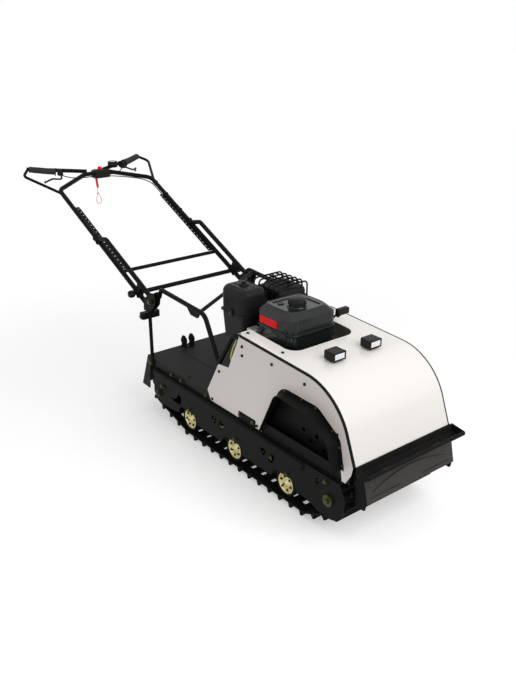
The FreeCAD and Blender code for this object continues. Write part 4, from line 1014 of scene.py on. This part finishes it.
class TUG_OT_head(bpy.types.Operator):
    """Adds the grips, lever pivots, switches and box cover of the handlebar's head"""
    bl_idname = "tug.head"
    bl_label = "Handlebar head"

    def execute(self, context):
        grip_in, grip_out = mm(-1583, -197, 974), mm(-1650, -324, 992)
        along = (grip_out - grip_in).normalized()
        total = (grip_out - grip_in).length
        profile = [(0.0101, 0.0), (0.0205, 0.0), (0.0215, 0.0015), (0.0205, 0.0035), (0.0150, 0.0045)]
        steps = 22
        pitch = (total - 0.024) / steps
        for i in range(steps):
            at = 0.008 + i * (total - 0.024) / steps
            swell = 0.0149 + 0.0009 * math.sin(math.pi * i / (steps - 1))
            profile += [(swell - 0.0008, at), (swell, at + pitch * 0.25), (swell, at + pitch * 0.7)]
        profile += [(0.0158, total - 0.0145), (0.0150, total - 0.0125), (0.0101, total - 0.0120),
                    (0.0101, 0.0)]
        grip = spun(profile, along, grip_in, 36)
        finish_pair("grip_sleeves", [grip], "grip_rubber", UPPER, "grips")
        mount_at = grip_in - along * 0.018
        pivot = mount_at + Vector((0.014, 0, -0.008))
        cap = eased_disc(0.0105, 0.016, 24, (0, 0, 0), 0.0015, 2)
        turn_to(cap, (0.25, 0.1, 1), pivot + Vector((0.004, 0, 0.001)))
        band = ring(0.0178, 0.0022, along, mount_at, 36, 8)
        screw = hex_bolt(0.008, 0.004)
        turn_to(screw, (0.25, 0.1, 1), pivot + Vector((0.006, 0.001, 0.0088)))
        tip = eased_disc(0.0058, 0.010, 20, (0, 0, 0), 0.0035, 3)
        turn_to(tip, (0.3, 0.2, 1), mm(-1578, -262, 930))
        finish_pair("lever_pivots", [cap, band, screw, tip], "bolt_black", UPPER)
        cover = eased_brick((0.036, 0.066, 0.003), mm(-1530, 28, 969), 0.0012, 2)
        finish_piece("box_cover", [cover], "plastic_black", UPPER)
        screws = [(mm(x, y, 970.2), UP) for x in (-1545, -1515) for y in (0, 57)]
        scatter("box_screws", dome_bolt(0.006, 0.0022), screws, "bolt_black", UPPER)
        stop = spun([(0, 0.0165), (0.0070, 0.0162), (0.0100, 0.0145), (0.0112, 0.0115), (0.0112, 0.0060),
                     (0.0128, 0.0050), (0.0132, 0.0)], UP, mm(BUTTON_X, BUTTON_Y, BOX_TOP), 32)
        finish_piece("stop_button", [stop], "badge_red", UPPER, "kill_switch")
        dot = spun([(0, 0.0010), (0.0030, 0.0009), (0.0036, 0.0), (0.0036, -0.0008)], UP,
                   mm(BUTTON_X, BUTTON_Y, 984.3), 20)
        finish_piece("stop_dot", [dot], "white_mark", UPPER)
        block = spun([(0, 0.0290), (0.0170, 0.0290), (0.0185, 0.0315), (0.0215, 0.0320), (0.0245, 0.0300),
                      (0.0258, 0.0260), (0.0258, 0.0060), (0.0235, 0.0015), (0.0150, 0.0)], UP,
                     mm(SWITCH_X, SWITCH_Y, BOX_TOP), 40)
        finish_piece("switch_body", [block], "plastic_black", UPPER, "switch_block")
        face = spun([(0, 0.0036), (0.0100, 0.0034), (0.0150, 0.0020), (0.0165, 0.0)], UP,
                    mm(SWITCH_X, SWITCH_Y, 996.6), 36)
        finish_piece("switch_face", [face], "bright_steel", UPPER)
        return {"FINISHED"}


class TUG_OT_cables(bpy.types.Operator):
    """Adds the control cables that are clipped to the handlebar's tubes"""
    bl_idname = "tug.cables"
    bl_label = "Control cables"

    def execute(self, context):
        r = sizes().cable / 2
        runs = [[(-1562, -176, 958), (-1544, -150, 946), (-1534, -110, 940), (-1524, -60, 938),
                 (-1522, -14, 940)],
                [(-1562, 176, 958), (-1544, 152, 946), (-1534, 120, 940), (-1526, 90, 938),
                 (-1522, 68, 940)]]
        cables = [wire([mm(*p) for p in run], r) for run in runs]
        side = [mm(-1519, 60, 934), mm(-1510, 96, 930), mm(-1476, 160, 922), mm(-1436, 220, 912)]
        side += [bar(888, -66, 255), bar(850, -66, 254), bar(700, -66, 255), bar(560, -66, 255)]
        cables.append(wire(side, r))
        finish_piece("control_cables", cables, "cable_black", UPPER)
        ties = [ring(0.0146, 0.0016, BACK, bar(a, -54, 261), 28, 6) for a in (870, 760, 620)]
        finish_piece("cable_ties", ties, "bolt_black", UPPER)
        return {"FINISHED"}


class TUG_OT_hinges(bpy.types.Operator):
    """Adds the knobs, collars and bolts of the handlebar's clamps and the plugs of its tubes"""
    bl_idname = "tug.hinges"
    bl_label = "Hinges and clamps"

    def execute(self, context):
        at, reach = bar(122, BAR_DROP, BAR_SIDE), 0.0118
        lobes = [eased_disc(0.0125, 0.020, 32, (0, 0, 0), 0.003, 3)]
        for i in range(6):
            x, y = reach * math.cos(i * math.pi / 3), reach * math.sin(i * math.pi / 3)
            lobes.append(eased_disc(0.0048, 0.018, 16, (x, y, 0), 0.0018, 2))
        lobes.append(eased_disc(0.007, 0.006, 24, (0, 0, 0.0105), 0.0015, 2))
        knob = joined("clamp_knobs", lobes)
        turn_to(knob, RIGHT, at + Vector((0, -0.034, 0)))
        finish_pair("clamp_knobs", [knob], "plastic_black", LOWER)
        collars = [ring(0.0165, 0.0014, BACK, bar(a, BAR_DROP, BAR_SIDE), 36, 8)
                   for a in (105, 139, 496, 528)]
        finish_pair("clamp_collars", collars, "frame_black", LOWER)
        ears = []
        for a in (114, 130):
            ear = hex_bolt(0.010, 0.005)
            turn_to(ear, tuple(RISE), bar(a, -36, BAR_SIDE))
            ears.append(ear)
        finish_pair("clamp_bolts", ears, "bolt_olive", LOWER)
        one = hex_bolt(0.010, 0.005)
        turn_to(one, RIGHT, mm(-623, -295, 496))
        finish_pair("post_clamp_bolts", [one], "bolt_olive")
        plug = eased_disc(0.0108, 0.006, 28, (0, 0, 0), 0.0018, 2)
        turn_to(plug, tuple(-BACK), bar(60, BAR_DROP, BAR_SIDE))
        finish_pair("tube_plugs", [plug], "plastic_black", UPPER)
        return {"FINISHED"}


class TUG_OT_nose(bpy.types.Operator):
    """Adds the plain pressed ribs of the lower front plate"""
    bl_idname = "tug.nose"
    bl_label = "Nose plate ribs"

    def execute(self, context):
        def on_plate(y, down):
            """A place just ahead of the sloping plate, as a fraction down from z 300."""
            return mm(689.5 + 23 * down + 1.2, y, 300 - 100 * down)

        half, steps = 190, 8
        arch = []
        for i in range(steps + 1):
            y = 2 * half * i / steps - half
            arch.append(on_plate(y, 0.30 + 0.34 * (y / half) ** 2))
        ribs = [wire(arch, 0.0028, fine=6)]
        for sign in (-1, 1):
            ribs.append(wire([on_plate(sign * y, 0.84) for y in (204, 60)], 0.0022, order=2))
        finish_piece("nose_ribs", ribs, "nose_grey")
        return {"FINISHED"}


# Where the floor's fade starts and ends, in metres from the middle, its glow near the object and
# its tints there and far off; then the sky's light, where the lamps aim, the key lamp with its
# place and size, and the two small lamps with their power too
FLOOR_NEAR, FLOOR_FAR, FLOOR_GLOW = 0.9, 2.6, 0.38
FLOOR_TINT, FLOOR_EDGE = (0.72, 0.72, 0.72), (0.02, 0.02, 0.02)
SKY_LIGHT = 0.60
LAMP_AIM = (0.3, 0, 0.3)
KEY_LAMP = ("key", (3.6, 0.5, 2.8), 2.8)
SMALL_LAMPS = [("top", (0.0, 0.6, 4.2), 3.0, 9.0), ("fill", (1.4, -3.4, 1.2), 2.0, 21.0)]


class TUG_OT_stage(bpy.types.Operator):
    """Adds the white floor and the soft studio lamps"""
    bl_idname = "tug.stage"
    bl_label = "Floor and lamps"

    def seen(self, tree):
        """One for rays from the camera, a mirror or glass, and nothing for the light on the object."""
        path, link = tree.nodes.new("ShaderNodeLightPath"), tree.links.new
        first, second = (tree.nodes.new("ShaderNodeMath") for _ in range(2))
        first.operation = second.operation = "MAXIMUM"
        link(path.outputs["Is Camera Ray"], first.inputs[0])
        link(path.outputs["Is Glossy Ray"], first.inputs[1])
        link(first.outputs[0], second.inputs[0])
        link(path.outputs["Is Transmission Ray"], second.inputs[1])
        return second.outputs[0]

    def execute(self, context):
        deselect()
        bpy.ops.mesh.primitive_plane_add(size=60.0, location=(0, 0, -0.0008))
        floor = context.object
        floor.name = "floor"
        settle(floor)
        mat, tree, shader = nodes_of("floor_white")
        setting(shader, Roughness=0.9, Specular_IOR_Level=0.05)
        coord, link = object_place(tree), tree.links.new
        far = tree.nodes.new("ShaderNodeVectorMath")
        far.operation = "LENGTH"
        link(coord, far.inputs[0])
        fade = setting(tree.nodes.new("ShaderNodeMapRange"), From_Min=FLOOR_NEAR, From_Max=FLOOR_FAR)
        fade.interpolation_type = "SMOOTHSTEP"
        link(far.outputs["Value"], fade.inputs["Value"])
        tinted(tree, shader, fade.outputs["Result"], [(0.0, FLOOR_TINT), (1.0, FLOOR_EDGE)])
        glow = setting(tree.nodes.new("ShaderNodeEmission"), Color=(1, 1, 1, 1))
        power = tree.nodes.new("ShaderNodeMath")
        power.operation = "MULTIPLY"
        link(spread(tree, fade.outputs["Result"], FLOOR_GLOW, 1.0), power.inputs[0])
        link(self.seen(tree), power.inputs[1])
        link(power.outputs[0], glow.inputs["Strength"])
        add = tree.nodes.new("ShaderNodeAddShader")
        out = tree.nodes["Material Output"]
        link(shader.outputs["BSDF"], add.inputs[0])
        link(glow.outputs["Emission"], add.inputs[1])
        link(add.outputs["Shader"], out.inputs["Surface"])
        floor.data.materials.append(mat)
        world = bpy.data.worlds.new("studio")
        context.scene.world = world
        world.use_nodes = True
        tree = world.node_tree
        back = setting(tree.nodes["Background"], Color=(1, 1, 1, 1))
        tree.links.new(spread(tree, self.seen(tree), SKY_LIGHT, 1.0), back.inputs["Strength"])
        for name, place, size, power in ((*KEY_LAMP, context.scene.tug_view.sun), *SMALL_LAMPS):
            data = bpy.data.lights.new(name, "AREA")
            data.energy = power
            data.shape = "SQUARE"
            data.size = size
            lamp = bpy.data.objects.new(name, data)
            lamp.location = place
            lamp.rotation_mode = "QUATERNION"
            lamp.rotation_quaternion = (Vector(LAMP_AIM) - Vector(place)).to_track_quat("-Z", "Y")
            context.scene.collection.objects.link(lamp)
        context.scene.view_settings.view_transform = "Standard"
        return {"FINISHED"}


class TUG_PT_panel(bpy.types.Panel):
    """Lists the steps that make the tug"""
    bl_label = "Tracked Snow Tug"
    bl_idname = "TUG_PT_panel"
    bl_space_type = "VIEW_3D"
    bl_region_type = "UI"
    bl_category = "Tug"

    def draw(self, context):
        column = self.layout.column()
        for operator in OPERATORS:
            column.operator(operator.bl_idname)
        for group in (context.scene.tug_colours, context.scene.tug_sizes, context.scene.tug_view):
            box = self.layout.box()
            for key in group.bl_rna.properties.keys():
                if key not in ("rna_type", "name"):
                    box.prop(group, key)


OPERATORS = [
    TUG_OT_camera,
    TUG_OT_finishes,
    TUG_OT_lanyard,
    TUG_OT_edges,
    TUG_OT_handle,
    TUG_OT_tread,
    TUG_OT_bolts,
    TUG_OT_lamps,
    TUG_OT_tank,
    TUG_OT_engine,
    TUG_OT_head,
    TUG_OT_cables,
    TUG_OT_hinges,
    TUG_OT_nose,
    TUG_OT_stage,
]
CLASSES = [TugColours, TugSizes, TugView] + OPERATORS + [TUG_PT_panel]


def register():
    for cls in CLASSES:
        bpy.utils.register_class(cls)
    bpy.types.Scene.tug_colours = bpy.props.PointerProperty(type=TugColours)
    bpy.types.Scene.tug_sizes = bpy.props.PointerProperty(type=TugSizes)
    bpy.types.Scene.tug_view = bpy.props.PointerProperty(type=TugView)


def unregister():
    del bpy.types.Scene.tug_view
    del bpy.types.Scene.tug_sizes
    del bpy.types.Scene.tug_colours
    for cls in reversed(CLASSES):
        bpy.utils.unregister_class(cls)


def main():
    register()
    for operator in OPERATORS:
        group, call = operator.bl_idname.split(".")
        getattr(getattr(bpy.ops, group), call)()


if __name__ == "__main__":
    main()
